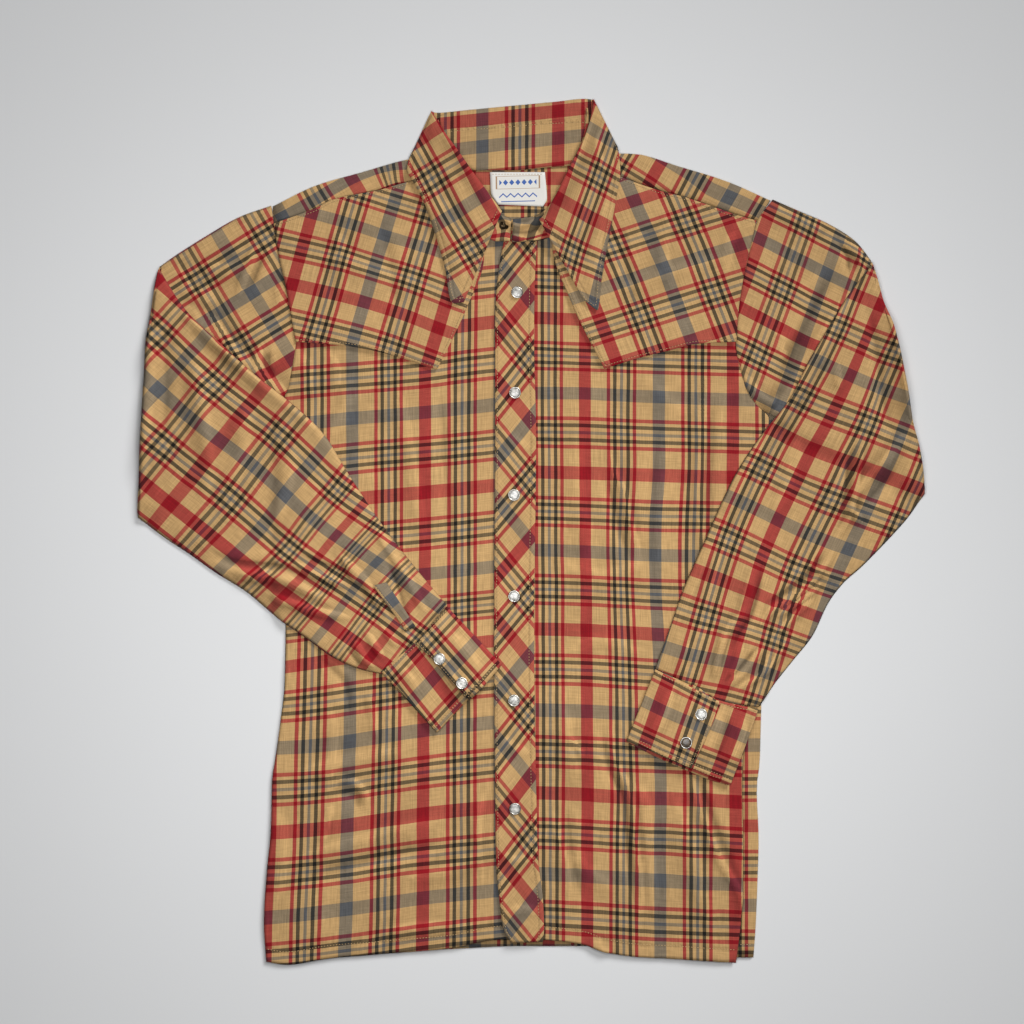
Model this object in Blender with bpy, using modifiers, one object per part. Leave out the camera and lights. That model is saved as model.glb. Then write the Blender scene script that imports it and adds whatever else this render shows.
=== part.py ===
"""A western snap shirt, snapped shut and laid out flat on its back, both sleeves folded over the fronts.

Every piece is drawn on one plan: x runs to the right and y runs down, in millimetres, seen from above.
A piece is a sheet between two rails, given by a few sections from rail to rail, and it is laid on the
cloth already there. Sides are named as the wearer's, so the shirt's right is on the left of the plan.
"""

import bpy
import bmesh
import numpy as np

MM = 0.001
PLAN_ORIGIN = (531.5, 531.5)  # the plan point over the world's origin: the middle of the shirt's outline
PLAN_SIZE = 1064

CLOTH = 1.0  # one wall of cloth
SLEEVE = 2.4  # a sleeve pressed flat, its two walls in one
LABEL_THICKNESS = 0.6
GAP = 0.3  # air between pieces
SEAM = 0.5  # half the gap between pieces that meet edge to edge

# Grid spacing along and across each kind of piece. The back lies flat, so its grid is coarse.
PANEL_CELL, FLOOR_CELL, YOKE_CELL = (19, 17), (24, 48), (20, 26)
SMALL_CELL, SLEEVE_CELL, CUFF_CELL, LABEL_CELL = (13, 13), (17, 20), (12, 13), (9, 14)
COLLAR_COLUMNS, SLEEVE_COLUMNS, CUFF_COLUMNS, PLACKET_COLUMNS, FACING_COLUMNS = 6, 12, 7, 4, 3
FOLD_STEPS = 4  # rows of cells round a fold
TURN_ROWS = 3  # rows of points across an edge that comes round onto the front
RASTER = 2  # spacing of the raster that holds the pile's height
CELL_GROWTH = 0.15  # how far each cell's footprint on the raster is spread, as a share of the cell
WELD = 1e-6  # sheets' points this close, in metres, are one

# Each material: its colour, roughness and metallic value.
LOOKS = {
    "plaid_cotton": ((0.38, 0.22, 0.11), 0.85, 0.0),
    "woven_label": ((0.86, 0.85, 0.80), 0.7, 0.0),
    "pearl": ((0.88, 0.87, 0.83), 0.2, 0.0),
    "steel": ((0.55, 0.54, 0.52), 0.35, 0.9),
}

# Each row of the tables below is one section: ax, ay, bx, by, its ends on the piece's two rails.

ARMHOLE_RIGHT = ((271, 206), (278, 251), (286, 286), (292, 318), (296, 340), (294, 357), (289, 384), (284, 397))
ARMHOLE_LEFT = ((773, 199), (757, 222), (747, 262), (739, 305), (736, 341), (742, 376), (757, 405), (770, 414))

# Back, from the yoke seam to the hem; rail a is the wearer's right side. turn is how far the back comes
# round the left side onto the front.
BACK = (
    # ax, ay, bx, by, turn
    (291, 302, 737, 302, 0),
    (298, 340, 734, 341, 0),
    (296, 358, 740, 378, 0),
    (291, 386, 755, 408, 0),
    (286, 402, 771, 422, 3),
    (285, 450, 772, 455, 5),
    (286, 540, 769, 540, 9),
    (286, 624, 765, 628, 13),
    (285, 684, 762, 690, 16),
    (281, 720, 761, 725, 18),
    (276, 756, 760, 762, 17),
    (272, 782, 757, 790, 15),
    (271, 828, 759, 840, 16),
    (267, 870, 758, 880, 15),
    (264, 924, 756, 930, 15),
    (267, 958, 754, 958, 18),
)
BACK_HEM = ((267, 958), (371, 954), (450, 950), (520, 947), (585, 947), (616, 954), (690, 958), (754, 958))
ARMPIT_Y = 425

# Back yoke, from the right armhole to the left; rail a is the shoulder fold and neck, rail b the seam
# with the back. lap is how far the yoke comes over the shoulder onto the front.
BACK_YOKE = (
    # ax, ay, bx, by, lap
    (272, 206, 289, 300, 19),
    (315, 185, 318, 307, 24),
    (360, 172, 361, 315, 23),
    (408, 159, 408, 323, 24),
    (434, 156, 434, 326, 24),
    (450, 168, 450, 328, 0),
    (482, 167, 482, 330, 0),
    (515, 167, 515, 331, 0),
    (560, 163, 548, 330, 0),
    (588, 161, 582, 327, 0),
    (606, 153, 606, 325, 28),
    (632, 153, 632, 321, 30),
    (680, 166, 674, 314, 31),
    (728, 181, 712, 306, 31),
    (771, 200, 738, 300, 25),
)
YOKE_ARMHOLE_RIGHT = ((272, 206), (279, 251), (287, 286), (290, 300))
YOKE_ARMHOLE_LEFT = ((771, 200), (756, 222), (746, 262), (738, 300))
SHOULDER_SLANT = ((0.1, 1.0), (-0.55, 0.84))  # which way on the plan each shoulder's lap runs
NECK = (436, 604)  # the neck's two sides, where the shoulder folds end

# Fronts, from the shoulder to the hem. They meet under the placket.
FRONT_RIGHT = (
    (276, 229, 447, 181),
    (279, 253, 459, 206),
    (284, 276, 482, 230),
    (290, 306, 527, 243),
    (296, 340, 527, 310),
    (294, 357, 527, 352),
    (289, 384, 527, 384),
    (284, 402, 527, 402),
    (285, 450, 527, 450),
    (286, 540, 527, 540),
    (286, 624, 527, 624),
    (285, 684, 527, 684),
    (281, 720, 527, 716),
    (276, 756, 527, 752),
    (272, 782, 527, 780),
    (271, 828, 527, 826),
    (267, 870, 527, 866),
    (264, 924, 527, 908),
    (266, 962, 527, 938),
)
FRONT_RIGHT_HEM = ((266, 962), (287, 965), (326, 959), (371, 955), (445, 949), (502, 939), (527, 938))
FRONT_LEFT = (
    (600, 181, 754, 228),
    (589, 204, 748, 258),
    (566, 222, 743, 280),
    (529, 243, 739, 305),
    (529, 320, 736, 341),
    (529, 360, 742, 376),
    (529, 392, 757, 405),
    (529, 412, 769, 419),
    (529, 450, 766, 455),
    (529, 540, 759, 540),
    (529, 640, 750, 640),
    (529, 700, 745, 700),
    (529, 752, 743, 753),
    (529, 792, 742, 792),
    (529, 835, 743, 835),
    (529, 880, 743, 880),
    (529, 920, 741, 922),
    (529, 939, 736, 963),
)
FRONT_LEFT_HEM = ((529, 939), (559, 941), (581, 944), (605, 952), (637, 957), (672, 959), (704, 961), (736, 963))

# Front yokes, from the shoulder seam to the pointed lower edge; rail a is the armhole on the right yoke
# and the neck on the left one.
YOKE_RIGHT = (
    (274, 224, 447, 174),
    (278, 251, 474, 216),
    (286, 286, 484, 258),
    (291, 315, 466, 310),
    (296, 342, 437, 370),
)
YOKE_RIGHT_SHOULDER = ((274, 224), (315, 209), (333, 200), (381, 190), (402, 184), (447, 174))
YOKE_RIGHT_FOOT = ((296, 342), (345, 346), (383, 353), (437, 370))
YOKE_LEFT = (
    (598, 168, 756, 221),
    (566, 206, 747, 260),
    (552, 244, 742, 284),
    (571, 302, 738, 312),
    (604, 369, 736, 342),
)
YOKE_LEFT_SHOULDER = ((598, 168), (638, 184), (666, 193), (683, 197), (718, 209), (735, 215), (756, 221))
YOKE_LEFT_FOOT = ((604, 369), (643, 357), (668, 351), (698, 344), (736, 342))

# Placket, cut on the bias, from the neck to the hem.
PLACKET = (
    (504, 240, 537, 240),
    (498, 276, 535, 276),
    (495, 320, 534, 330),
    (495, 440, 536, 440),
    (494, 640, 534, 640),
    (495, 779, 536, 779),
    (496, 857, 538, 857),
    (500, 905, 543, 900),
    (504, 930, 544, 928),
    (512, 942, 543, 941),
)

# Collar leaf, from its right front edge round the back of the neck to its left front edge; rail a is the
# roll line. The back stretch lies under the neckband.
LEAF_RIGHT = (
    (502, 212, 464, 303),
    (498, 206, 453, 304),
    (487, 192, 445, 268),
    (474, 175, 436, 237),
    (460, 155, 425, 205),
    (448, 138, 414, 184),
    (438, 122, 407, 170),
    (431, 111, 410, 156),
)
LEAF_BACK = (
    (431, 111, 410, 156),
    (438, 112, 430, 170),
    (470, 109, 465, 172),
    (512, 105, 512, 170),
    (555, 101, 560, 167),
    (584, 98, 600, 160),
    (594, 99, 618, 147),
)
LEAF_LEFT = (
    (594, 99, 618, 147),
    (592, 112, 620, 172),
    (585, 137, 616, 198),
    (573, 162, 611, 226),
    (562, 184, 606, 252),
    (551, 205, 601, 282),
    (543, 217, 597, 311),
    (539, 221, 583, 300),
)

# Neckband, the same way round, from the roll line to the neck seam.
BAND_RIGHT = (
    (511, 219, 510, 242),
    (502, 215, 497, 242),
    (492, 206, 478, 229),
    (479, 186, 462, 207),
    (465, 166, 450, 187),
    (451, 146, 442, 172),
    (437, 120, 441, 162),
)
BAND_BACK = (
    (437, 120, 441, 162),
    (442, 114, 452, 169),
    (480, 109, 485, 170),
    (512, 106, 512, 170),
    (545, 103, 548, 167),
    (580, 102, 582, 164),
    (588, 108, 592, 157),
)
BAND_LEFT = (
    (588, 108, 592, 157),
    (583, 137, 598, 170),
    (572, 162, 590, 192),
    (556, 194, 574, 216),
    (545, 210, 556, 235),
    (530, 217, 534, 242),
    (513, 219, 512, 243),
)

# Sleeves: the upper arm from the armhole to the elbow fold, then the forearm from the fold to the cuff.
UPPER_RIGHT = (
    (271, 206, 284, 397),
    (240, 217, 250, 424),
    (205, 237, 213, 454),
    (178, 254, 174, 486),
    (158, 268, 137, 516),
)
ELBOW_RIGHT = ((158, 268), (154, 300), (147, 348), (143, 420), (139, 492), (137, 516))
FOREARM_RIGHT = (
    (158, 268, 137, 516),
    (186, 311, 163, 536),
    (223, 346, 190, 554),
    (256, 376, 217, 573),
    (289, 402, 246, 591),
    (322, 433, 276, 616),
    (351, 479, 305, 636),
    (381, 524, 333, 656),
    (414, 567, 360, 668),
    (446, 605, 382, 673),
)
UPPER_LEFT = (
    (773, 199, 770, 414),
    (800, 211, 804, 432),
    (830, 224, 845, 452),
    (856, 241, 890, 474),
    (873, 262, 926, 492),
)
ELBOW_LEFT = ((873, 262), (883, 300), (892, 324), (903, 372), (912, 420), (919, 446), (926, 492))
FOREARM_LEFT = (
    (873, 262, 926, 492),
    (846, 298, 909, 517),
    (826, 330, 894, 534),
    (807, 362, 877, 552),
    (789, 398, 862, 567),
    (763, 432, 845, 582),
    (737, 471, 829, 603),
    (707, 534, 813, 636),
    (682, 592, 794, 660),
    (666, 638, 775, 684),
    (655, 668, 759, 707),
)
WRIST_LEFT = ((655, 668), (691, 681), (720, 698), (759, 707))

# Cuffs: rail a is the seam with the sleeve, rail b the opening. Sections go round the wrist from the
# end tucked under to the end that shows.
CUFF_RIGHT = {
    "tucked": ((436, 623, 489, 680), (415, 643, 468, 698), (383, 674, 437, 732)),
    "under": ((383, 674, 437, 732), (447, 606, 502, 664)),
    "over": ((447, 606, 502, 664), (415, 643, 468, 698)),
}
CUFF_LEFT = {
    "tucked": ((692, 683, 662, 755), (720, 700, 690, 767), (758, 709, 730, 784)),
    "under": ((758, 709, 730, 784), (720, 700, 690, 767), (655, 669, 626, 740)),
    "over": ((655, 669, 626, 740), (720, 701, 690, 767)),
}
SLIT_FACING = ((374, 585, 387, 582), (390, 607, 401, 603), (406, 631, 416, 626))

LABEL = ((490, 172, 545, 172), (491, 193, 547, 198), (498, 204, 543, 206))

# Snaps: where each cap's middle lies, top to bottom.
SNAPS = {
    "placket": ((517, 293), (515, 393), (514, 495), (514, 596), (514, 700), (515, 808)),
    "cuff_right": ((440, 658), (462, 682)),
    "cuff_left": ((700, 713), (685, 741)),
}
SNAP_RADIUS, SNAP_HEIGHT = 6.0, 2.2
SNAP_PROFILE = ((0, 1.0), (0.72, 0.86), (0.84, 1.0), (1, 0.6), (1, 0), (0, 0))  # shares of radius, height
SNAP_STEPS, SNAP_WELD = 14, 1e-5
SOCKET_AT, SOCKET_RADIUS, SOCKET_HEIGHT = (504, 226), 5.0, 1.2

# The largest folds of the fronts: each ridge runs from a to b, with its half width and its height.
RIDGES = (
    # ax, ay, bx, by, width, height
    (690, 760, 740, 955, 15, 3.5),
    (606, 690, 642, 955, 15, 3.0),
    (700, 400, 702, 590, 14, 2.5),
    (300, 860, 430, 812, 16, 2.0),
    (350, 640, 370, 830, 16, 2.0),
    (400, 390, 425, 560, 18, 1.5),
    (600, 400, 595, 560, 20, 1.5),
)
RIDGE_TAPER = 0.25  # the share of a ridge's length in which each end rises


def smooth(rows, count):
    """The table's rows, read at count even steps along a smooth line that never overshoots them."""
    rows = np.array(rows, float)
    at = np.r_[0, np.cumsum(np.linalg.norm(np.diff(rows, axis=0), axis=1))]
    lines = np.diff(rows, axis=0) / np.diff(at)[:, None]
    before, after = lines[:-1], lines[1:]
    level = 2 * before * after / np.where(before * after > 0, before + after, 1)
    slope = np.vstack([lines[:1], np.where(before * after > 0, level, 0), lines[-1:]])
    steps = np.linspace(0, at[-1], count)
    k = np.clip(np.searchsorted(at, steps, side="right") - 1, 0, len(at) - 2)
    span = (at[k + 1] - at[k])[:, None]
    s = (steps - at[k])[:, None] / span
    ends = rows[k] * (1 + 2 * s) * (1 - s) ** 2 + rows[k + 1] * s**2 * (3 - 2 * s)
    return ends + span * (slope[k] * s * (1 - s) ** 2 + slope[k + 1] * s**2 * (s - 1))


def patch(sections, cell, columns=None, first=None, last=None):
    """A sheet on the plan, as rows of points; first and last are the end sections where they curve."""
    rails = np.array(sections, float)[:, :4]
    length = np.linalg.norm(np.diff(rails, axis=0), axis=1).sum() / 2**0.5
    width = np.linalg.norm(rails[:, 2:] - rails[:, :2], axis=1).max()
    rows, columns = max(3, round(length / cell[0]) + 1), columns or max(3, round(width / cell[1]) + 1)
    rails = smooth(sections, rows)[:, None]
    u = np.linspace(0, 1, columns)[:, None]
    plan = rails[..., :2] * (1 - u) + rails[..., 2:4] * u
    v = np.linspace(0, 1, rows)[:, None, None]
    if first:
        plan += (1 - v) * (smooth(first, columns) - plan[0])
    if last:
        plan += v * (smooth(last, columns) - plan[-1])
    return plan


def inset(plan, start=0, end=0, low=0, high=0):
    """The plan with its first and last rows and columns drawn in by these distances."""
    plan = plan.copy()
    for edge, inner, distance in (
        (plan[0], plan[1], start),
        (plan[-1], plan[-2], end),
        (plan[:, 0], plan[:, 1], low),
        (plan[:, -1], plan[:, -2], high),
    ):
        inward = inner - edge
        edge += inward * distance / np.linalg.norm(inward, axis=-1, keepdims=True)
    return plan


class Pile:
    """The top of the cloth laid down so far, on a square raster over the plan."""

    def __init__(self, top=None):
        self.top = np.full((PLAN_SIZE // RASTER, PLAN_SIZE // RASTER), -GAP) if top is None else top.copy()
        self.waiting = []

    def foot(self, x, y, reach):
        """The lowest a flat thing can lie that spreads this far about a point."""
        rows, columns = (slice(int((at - reach) // RASTER), int((at + reach) // RASTER) + 2) for at in (y, x))
        return self.top[rows, columns].max() + GAP

    def lay(self, plan, thickness=CLOTH, rise=0):
        """Lays a sheet on what is there, and returns its middle surface. Its own course can't feel it."""
        diagonals = plan[1:, 1:] - plan[:-1, :-1], plan[1:, :-1] - plan[:-1, 1:]
        reach = max(np.linalg.norm(diagonal, axis=-1).max() for diagonal in diagonals)
        feet = [[self.foot(x, y, reach) for x, y in row] for row in plan]
        middle = np.array(feet) + rise + thickness / 2
        self.waiting.append((plan, middle + thickness / 2))
        return np.dstack([plan, middle])

    def next_course(self):
        """Adds the sheets laid since the last course, so that the next ones lie on them."""
        for plan, top in self.waiting:
            for i, j in np.ndindex(plan.shape[0] - 1, plan.shape[1] - 1):
                corners = plan[i : i + 2, j : j + 2].reshape(4, 2)[[0, 1, 3, 2]]
                self.fill(corners, top[i : i + 2, j : j + 2].max())
        self.waiting = []

    def fill(self, corners, height):
        """Raises the raster to this height inside a four-sided cell and just round it."""
        corners = corners + (corners - corners.mean(axis=0)) * CELL_GROWTH
        x0, y0 = (corners.min(axis=0) // RASTER).astype(int)
        x1, y1 = (corners.max(axis=0) // RASTER).astype(int) + 2
        y, x = np.mgrid[y0:y1, x0:x1] * RASTER
        sides = np.array(
            [
                (end[0] - start[0]) * (y - start[1]) - (end[1] - start[1]) * (x - start[0])
                for start, end in zip(corners, np.roll(corners, -1, axis=0))
            ]
        )
        inside = (sides >= 0).all(axis=0) | (sides <= 0).all(axis=0)
        window = self.top[y0:y1, x0:x1]
        window[inside] = np.maximum(window[inside], height)


def ridges(plan):
    """How far the folds lift each point of a front."""
    lift = np.zeros(plan.shape[:2])
    for ax, ay, bx, by, width, height in RIDGES:
        start, along = np.array((ax, ay)), np.array((bx - ax, by - ay), float)
        length = np.linalg.norm(along)
        s = (plan - start) @ along / length**2
        away = (plan - start) @ np.array((-along[1], along[0])) / length
        ends = np.clip(np.minimum(s, 1 - s) / RIDGE_TAPER + 0.5, 0, 1)
        lift += height * np.exp(-((away / width) ** 2)) * ends * ends * (3 - 2 * ends)
    return lift


def fold(lower, upper, thickness=CLOTH):
    """Rows of points round the fold from the last row of one sheet to the first row of the next.

    Both rows are drawn in first, so that the outside of the fold lies on the line they shared."""
    edge, inner = lower[-1, :, :2], lower[-2, :, :2]
    along = np.gradient(edge, axis=0)
    out = np.dstack([-along[:, 1], along[:, 0]])[0] / np.linalg.norm(along, axis=1)[:, None]
    out *= np.sign(((edge - inner) * out).sum(axis=1).mean())
    radius = (upper[0, :, 2] - lower[-1, :, 2]) / 2
    for row in lower[-1], upper[0]:
        row[:, :2] -= out * (abs(radius) + thickness / 2)[:, None]
    middle = (lower[-1] + upper[0]) / 2
    rows = []
    for angle in np.linspace(0, np.pi, FOLD_STEPS + 1):
        row = middle.copy()
        row[:, :2] += out * (abs(radius) * np.sin(angle))[:, None]
        row[:, 2] -= radius * np.cos(angle)
        rows.append(row)
    rows[0], rows[-1] = lower[-1], upper[0]
    return np.array(rows)


def material(name):
    colour, roughness, metallic = LOOKS[name]
    made = bpy.data.materials.new(name)
    made.use_nodes = True
    shader = made.node_tree.nodes["Principled BSDF"]
    shader.inputs["Base Color"].default_value = (*colour, 1)
    shader.inputs["Roughness"].default_value = roughness
    shader.inputs["Metallic"].default_value = metallic
    return made


def world(point):
    x, y, z = point
    return (x - PLAN_ORIGIN[0]) * MM, (PLAN_ORIGIN[1] - y) * MM, z * MM


def new_object(name, bm, look, collection):
    mesh = bpy.data.meshes.new(name)
    bm.to_mesh(mesh)
    bm.free()
    mesh.materials.append(look)
    made = bpy.data.objects.new(name, mesh)
    collection.objects.link(made)
    return made


def cloth(name, sheets, collection, thickness, look):
    """One piece of cloth: sheets that share edges, welded there and made into a wall."""
    bm = bmesh.new()
    for sheet in sheets:
        rows, columns = sheet.shape[:2]
        made = bmesh.ops.create_grid(bm, x_segments=columns - 1, y_segments=rows - 1, size=1)
        for vertex, point in zip(made["verts"], sheet.reshape(-1, 3)):
            vertex.co = world(point)
    bmesh.ops.remove_doubles(bm, verts=bm.verts, dist=WELD)
    bmesh.ops.recalc_face_normals(bm, faces=bm.faces)
    made = new_object(name, bm, look, collection)
    wall = made.modifiers.new("wall", "SOLIDIFY")
    wall.thickness = thickness * MM
    wall.offset = 0
    wall.use_even_offset = True
    made.data.shade_smooth()
    return made


def snap(name, at, foot, collection, look, radius=SNAP_RADIUS, height=SNAP_HEIGHT):
    """A turned cap: a domed face inside a rim, with its flat back at this height over a plan point."""
    bm = bmesh.new()
    points = [bm.verts.new((r * radius * MM, 0, h * height * MM)) for r, h in SNAP_PROFILE]
    for start, end in zip(points, points[1:]):
        bm.edges.new((start, end))
    made = new_object(name, bm, look, collection)
    made.location = world((*at, foot))
    turn = made.modifiers.new("turned", "SCREW")
    turn.steps = turn.render_steps = SNAP_STEPS
    turn.use_merge_vertices = True
    turn.merge_threshold = SNAP_WELD


class Shirt:
    """Lays the pieces down course by course, and keeps the sheets that each one is made of."""

    def __init__(self):
        self.pile = Pile()
        self.sheets = {}
        self.socket_foot = None

    def keep(self, name, *sheets):
        self.sheets.setdefault(name, []).extend(sheets)
        return sheets[0]

    def lay(self, name, plan, pile=None, **how):
        return self.keep(name, (pile or self.pile).lay(plan, **how))

    def lay_back(self):
        """The back, its yoke and the hidden stretch of the collar leaf, on the floor."""
        self.leaf_back = self.lay("collar", patch(LEAF_BACK, SMALL_CELL, COLLAR_COLUMNS))
        self.pile.next_course()
        seam = [(bx, by + 2 * SEAM) for _, _, bx, by, _ in BACK_YOKE]
        back = patch(BACK, FLOOR_CELL, first=seam, last=BACK_HEM)
        self.back = self.lay("back", inset(back, start=SEAM, low=SEAM))
        yoke = patch(BACK_YOKE, YOKE_CELL, first=YOKE_ARMHOLE_RIGHT, last=YOKE_ARMHOLE_LEFT)
        yoke = inset(yoke, start=2 * SEAM, end=2 * SEAM, high=SEAM)
        self.yoke = self.lay("back_yoke", yoke)
        self.pile.next_course()

    def turn_over(self, name, edge, reach, towards):
        """Carries a sheet's last row over itself by this reach, in this direction on the plan."""
        near = edge[-1, :, :2]
        far = near + reach[:, None] * np.array(towards)
        strip = self.pile.lay(np.linspace(near, far, TURN_ROWS))
        self.keep(name, fold(edge, strip), strip)

    def lay_turned_edges(self):
        """The back's left edge and the yoke's shoulders, which come round onto the fronts."""
        armpit = np.argmax(self.back[:, -1, 1] > ARMPIT_Y)
        turn = smooth(BACK, len(self.back))[armpit:, 4]
        self.turn_over("back", self.back[armpit:].transpose(1, 0, 2), turn, (-1, 0))
        lap = smooth(BACK_YOKE, len(self.yoke))[:, 4]
        right, left = (self.yoke[:, 0, 0] < NECK[0]).sum(), np.argmax(self.yoke[:, 0, 0] > NECK[1])
        for shoulder, slant in zip((slice(0, right), slice(left, None)), SHOULDER_SLANT):
            edge = self.yoke[shoulder, ::-1].transpose(1, 0, 2)
            self.turn_over("back_yoke", edge, lap[shoulder], slant)

    def lay_fronts(self):
        """The fronts, what lies beside them, then the front yokes and the placket."""
        self.lay_turned_edges()
        for name, plan in (
            ("front_right", patch(FRONT_RIGHT, PANEL_CELL, last=FRONT_RIGHT_HEM)),
            ("front_left", patch(FRONT_LEFT, PANEL_CELL, last=FRONT_LEFT_HEM)),
        ):
            plan = inset(plan, low=3 * SEAM, high=3 * SEAM)
            self.lay(name, plan, rise=ridges(plan))
        self.band_back = self.lay("neckband", patch(BAND_BACK, SMALL_CELL, COLLAR_COLUMNS))
        self.lay("label", patch(LABEL, LABEL_CELL), thickness=LABEL_THICKNESS)
        self.pile.next_course()
        self.lay("yoke_right", patch(YOKE_RIGHT, SMALL_CELL, first=YOKE_RIGHT_SHOULDER, last=YOKE_RIGHT_FOOT))
        self.lay("yoke_left", patch(YOKE_LEFT, SMALL_CELL, first=YOKE_LEFT_SHOULDER, last=YOKE_LEFT_FOOT))
        self.lay("placket", patch(PLACKET, PANEL_CELL, PLACKET_COLUMNS))
        self.pile.next_course()

    def lay_collar(self):
        """The neckband's front stretches, then the leaf's, each folded over from the back of the neck."""
        for name, back, right, left in (
            ("neckband", self.band_back, BAND_RIGHT, BAND_LEFT),
            ("collar", self.leaf_back, LEAF_RIGHT, LEAF_LEFT),
        ):
            right, left = (self.lay(name, patch(rows, SMALL_CELL, COLLAR_COLUMNS)) for rows in (right, left))
            self.keep(name, fold(back[::-1], right[::-1]), fold(back, left))
            self.pile.next_course()
            self.socket_foot = self.socket_foot or self.pile.foot(*SOCKET_AT, SOCKET_RADIUS)

    def lay_sleeves(self):
        """The upper arms on the floor beside the body, then the forearms folded back over it all."""
        arms = Pile()
        uppers = {
            "right": patch(UPPER_RIGHT, SLEEVE_CELL, SLEEVE_COLUMNS, ARMHOLE_RIGHT, ELBOW_RIGHT),
            "left": patch(UPPER_LEFT, SLEEVE_CELL, SLEEVE_COLUMNS, ARMHOLE_LEFT, ELBOW_LEFT),
        }
        for side, plan in uppers.items():
            uppers[side] = self.lay(f"sleeve_{side}", inset(plan, start=SEAM), arms, thickness=SLEEVE)
        arms.next_course()
        self.pile.top = np.maximum(self.pile.top, arms.top)
        self.wrists = Pile(self.pile.top)
        for side, rows, elbow, wrist in (
            ("right", FOREARM_RIGHT, ELBOW_RIGHT, None),
            ("left", FOREARM_LEFT, ELBOW_LEFT, WRIST_LEFT),
        ):
            plan = inset(patch(rows, SLEEVE_CELL, SLEEVE_COLUMNS, elbow, wrist), end=SEAM)
            forearm = self.lay(f"sleeve_{side}", plan, thickness=SLEEVE)
            self.keep(f"sleeve_{side}", fold(uppers[side], forearm, SLEEVE))
        self.pile.next_course()

    def lay_cuffs(self):
        """Each cuff's three stretches, with a fold at each side of the wrist, and the slit's facing."""
        for side, stretches in ("right", CUFF_RIGHT), ("left", CUFF_LEFT):
            name = f"cuff_{side}"
            laid = {}
            for stretch in "under", "tucked", "over":
                plan = inset(patch(stretches[stretch], CUFF_CELL, CUFF_COLUMNS), low=SEAM)
                laid[stretch] = self.lay(name, plan, self.wrists)
                self.wrists.next_course()
            self.keep(name, fold(laid["under"][::-1], laid["tucked"][::-1]), fold(laid["under"], laid["over"]))
        self.lay("slit_facing", patch(SLIT_FACING, SMALL_CELL, FACING_COLUMNS))
        self.pile.next_course()
        self.pile.top = np.maximum(self.pile.top, self.wrists.top)


def build():
    for old in list(bpy.data.objects):
        bpy.data.objects.remove(old, do_unlink=True)
    collection = bpy.data.collections.new("western_snap_shirt")
    bpy.context.scene.collection.children.link(collection)
    shirt = Shirt()
    shirt.lay_back()
    shirt.lay_fronts()
    shirt.lay_collar()
    shirt.lay_sleeves()
    shirt.lay_cuffs()
    looks = {name: material(name) for name in LOOKS}
    walls = {"label": LABEL_THICKNESS, "sleeve_right": SLEEVE, "sleeve_left": SLEEVE}
    for name, sheets in shirt.sheets.items():
        look = looks["woven_label" if name == "label" else "plaid_cotton"]
        cloth(name, sheets, collection, walls.get(name, CLOTH), look)
    for row, places in SNAPS.items():
        for number, at in enumerate(places, 1):
            foot = shirt.pile.foot(*at, SNAP_RADIUS)
            snap(f"snap_{row}_{number}", at, foot, collection, looks["pearl"])
    foot = shirt.socket_foot
    snap("socket_neckband", SOCKET_AT, foot, collection, looks["steel"], SOCKET_RADIUS, SOCKET_HEIGHT)


build()
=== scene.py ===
"""Dresses a western snap shirt, snapped shut and laid out flat on its back, sleeves folded over the fronts.

Every cloth piece is drawn on one plan: x runs to the right and y runs down, in millimetres, seen from
above. A piece is a sheet between two rails, given by a few sections from rail to rail, laid on the cloth
already there and pressed into its own folds. Sides are named as the wearer's.
"""

import functools

import bmesh
import bpy
import numpy as np
from bpy.props import FloatProperty, FloatVectorProperty, PointerProperty
from mathutils import Matrix, Vector, noise
from mathutils.bvhtree import BVHTree

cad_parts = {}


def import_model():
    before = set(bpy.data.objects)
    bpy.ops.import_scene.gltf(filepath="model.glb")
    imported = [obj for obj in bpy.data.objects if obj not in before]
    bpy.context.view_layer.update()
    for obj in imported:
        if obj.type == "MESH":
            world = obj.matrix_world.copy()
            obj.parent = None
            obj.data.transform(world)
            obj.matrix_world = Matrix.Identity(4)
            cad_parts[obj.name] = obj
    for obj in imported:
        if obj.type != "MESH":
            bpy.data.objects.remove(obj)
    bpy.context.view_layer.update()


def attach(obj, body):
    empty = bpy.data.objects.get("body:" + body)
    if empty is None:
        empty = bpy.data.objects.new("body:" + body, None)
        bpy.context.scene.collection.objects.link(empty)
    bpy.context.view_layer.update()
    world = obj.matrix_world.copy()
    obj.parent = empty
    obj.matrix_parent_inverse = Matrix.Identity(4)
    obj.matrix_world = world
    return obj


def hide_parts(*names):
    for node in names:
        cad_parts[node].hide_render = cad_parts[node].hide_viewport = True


bl_info = {
    "name": "Western Snap Shirt",
    "version": (1, 0, 0),
    "blender": (4, 5, 0),
    "location": "View3D > Sidebar > Shirt",
    "description": "Cloth, seams, snaps and label of a western shirt laid out flat",
    "category": "Object",
}

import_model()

MM = 0.001
PLAN_ORIGIN = (531.5, 531.5)  # the plan point over the world's origin
PLAN_SIZE = 1064
RASTER = 2  # spacing of the raster that holds the pile's height
EDGE_CELLS = 4  # of that raster, along the slope that cloth makes over an edge

CLOTH, SLEEVE, LABEL_THICKNESS = 1.0, 2.4, 0.6
GAP = 0.3
WARP_STEP, WEFT_STEP = 0.074, 0.0798  # metres from one broad band of the sett to the next

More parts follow.
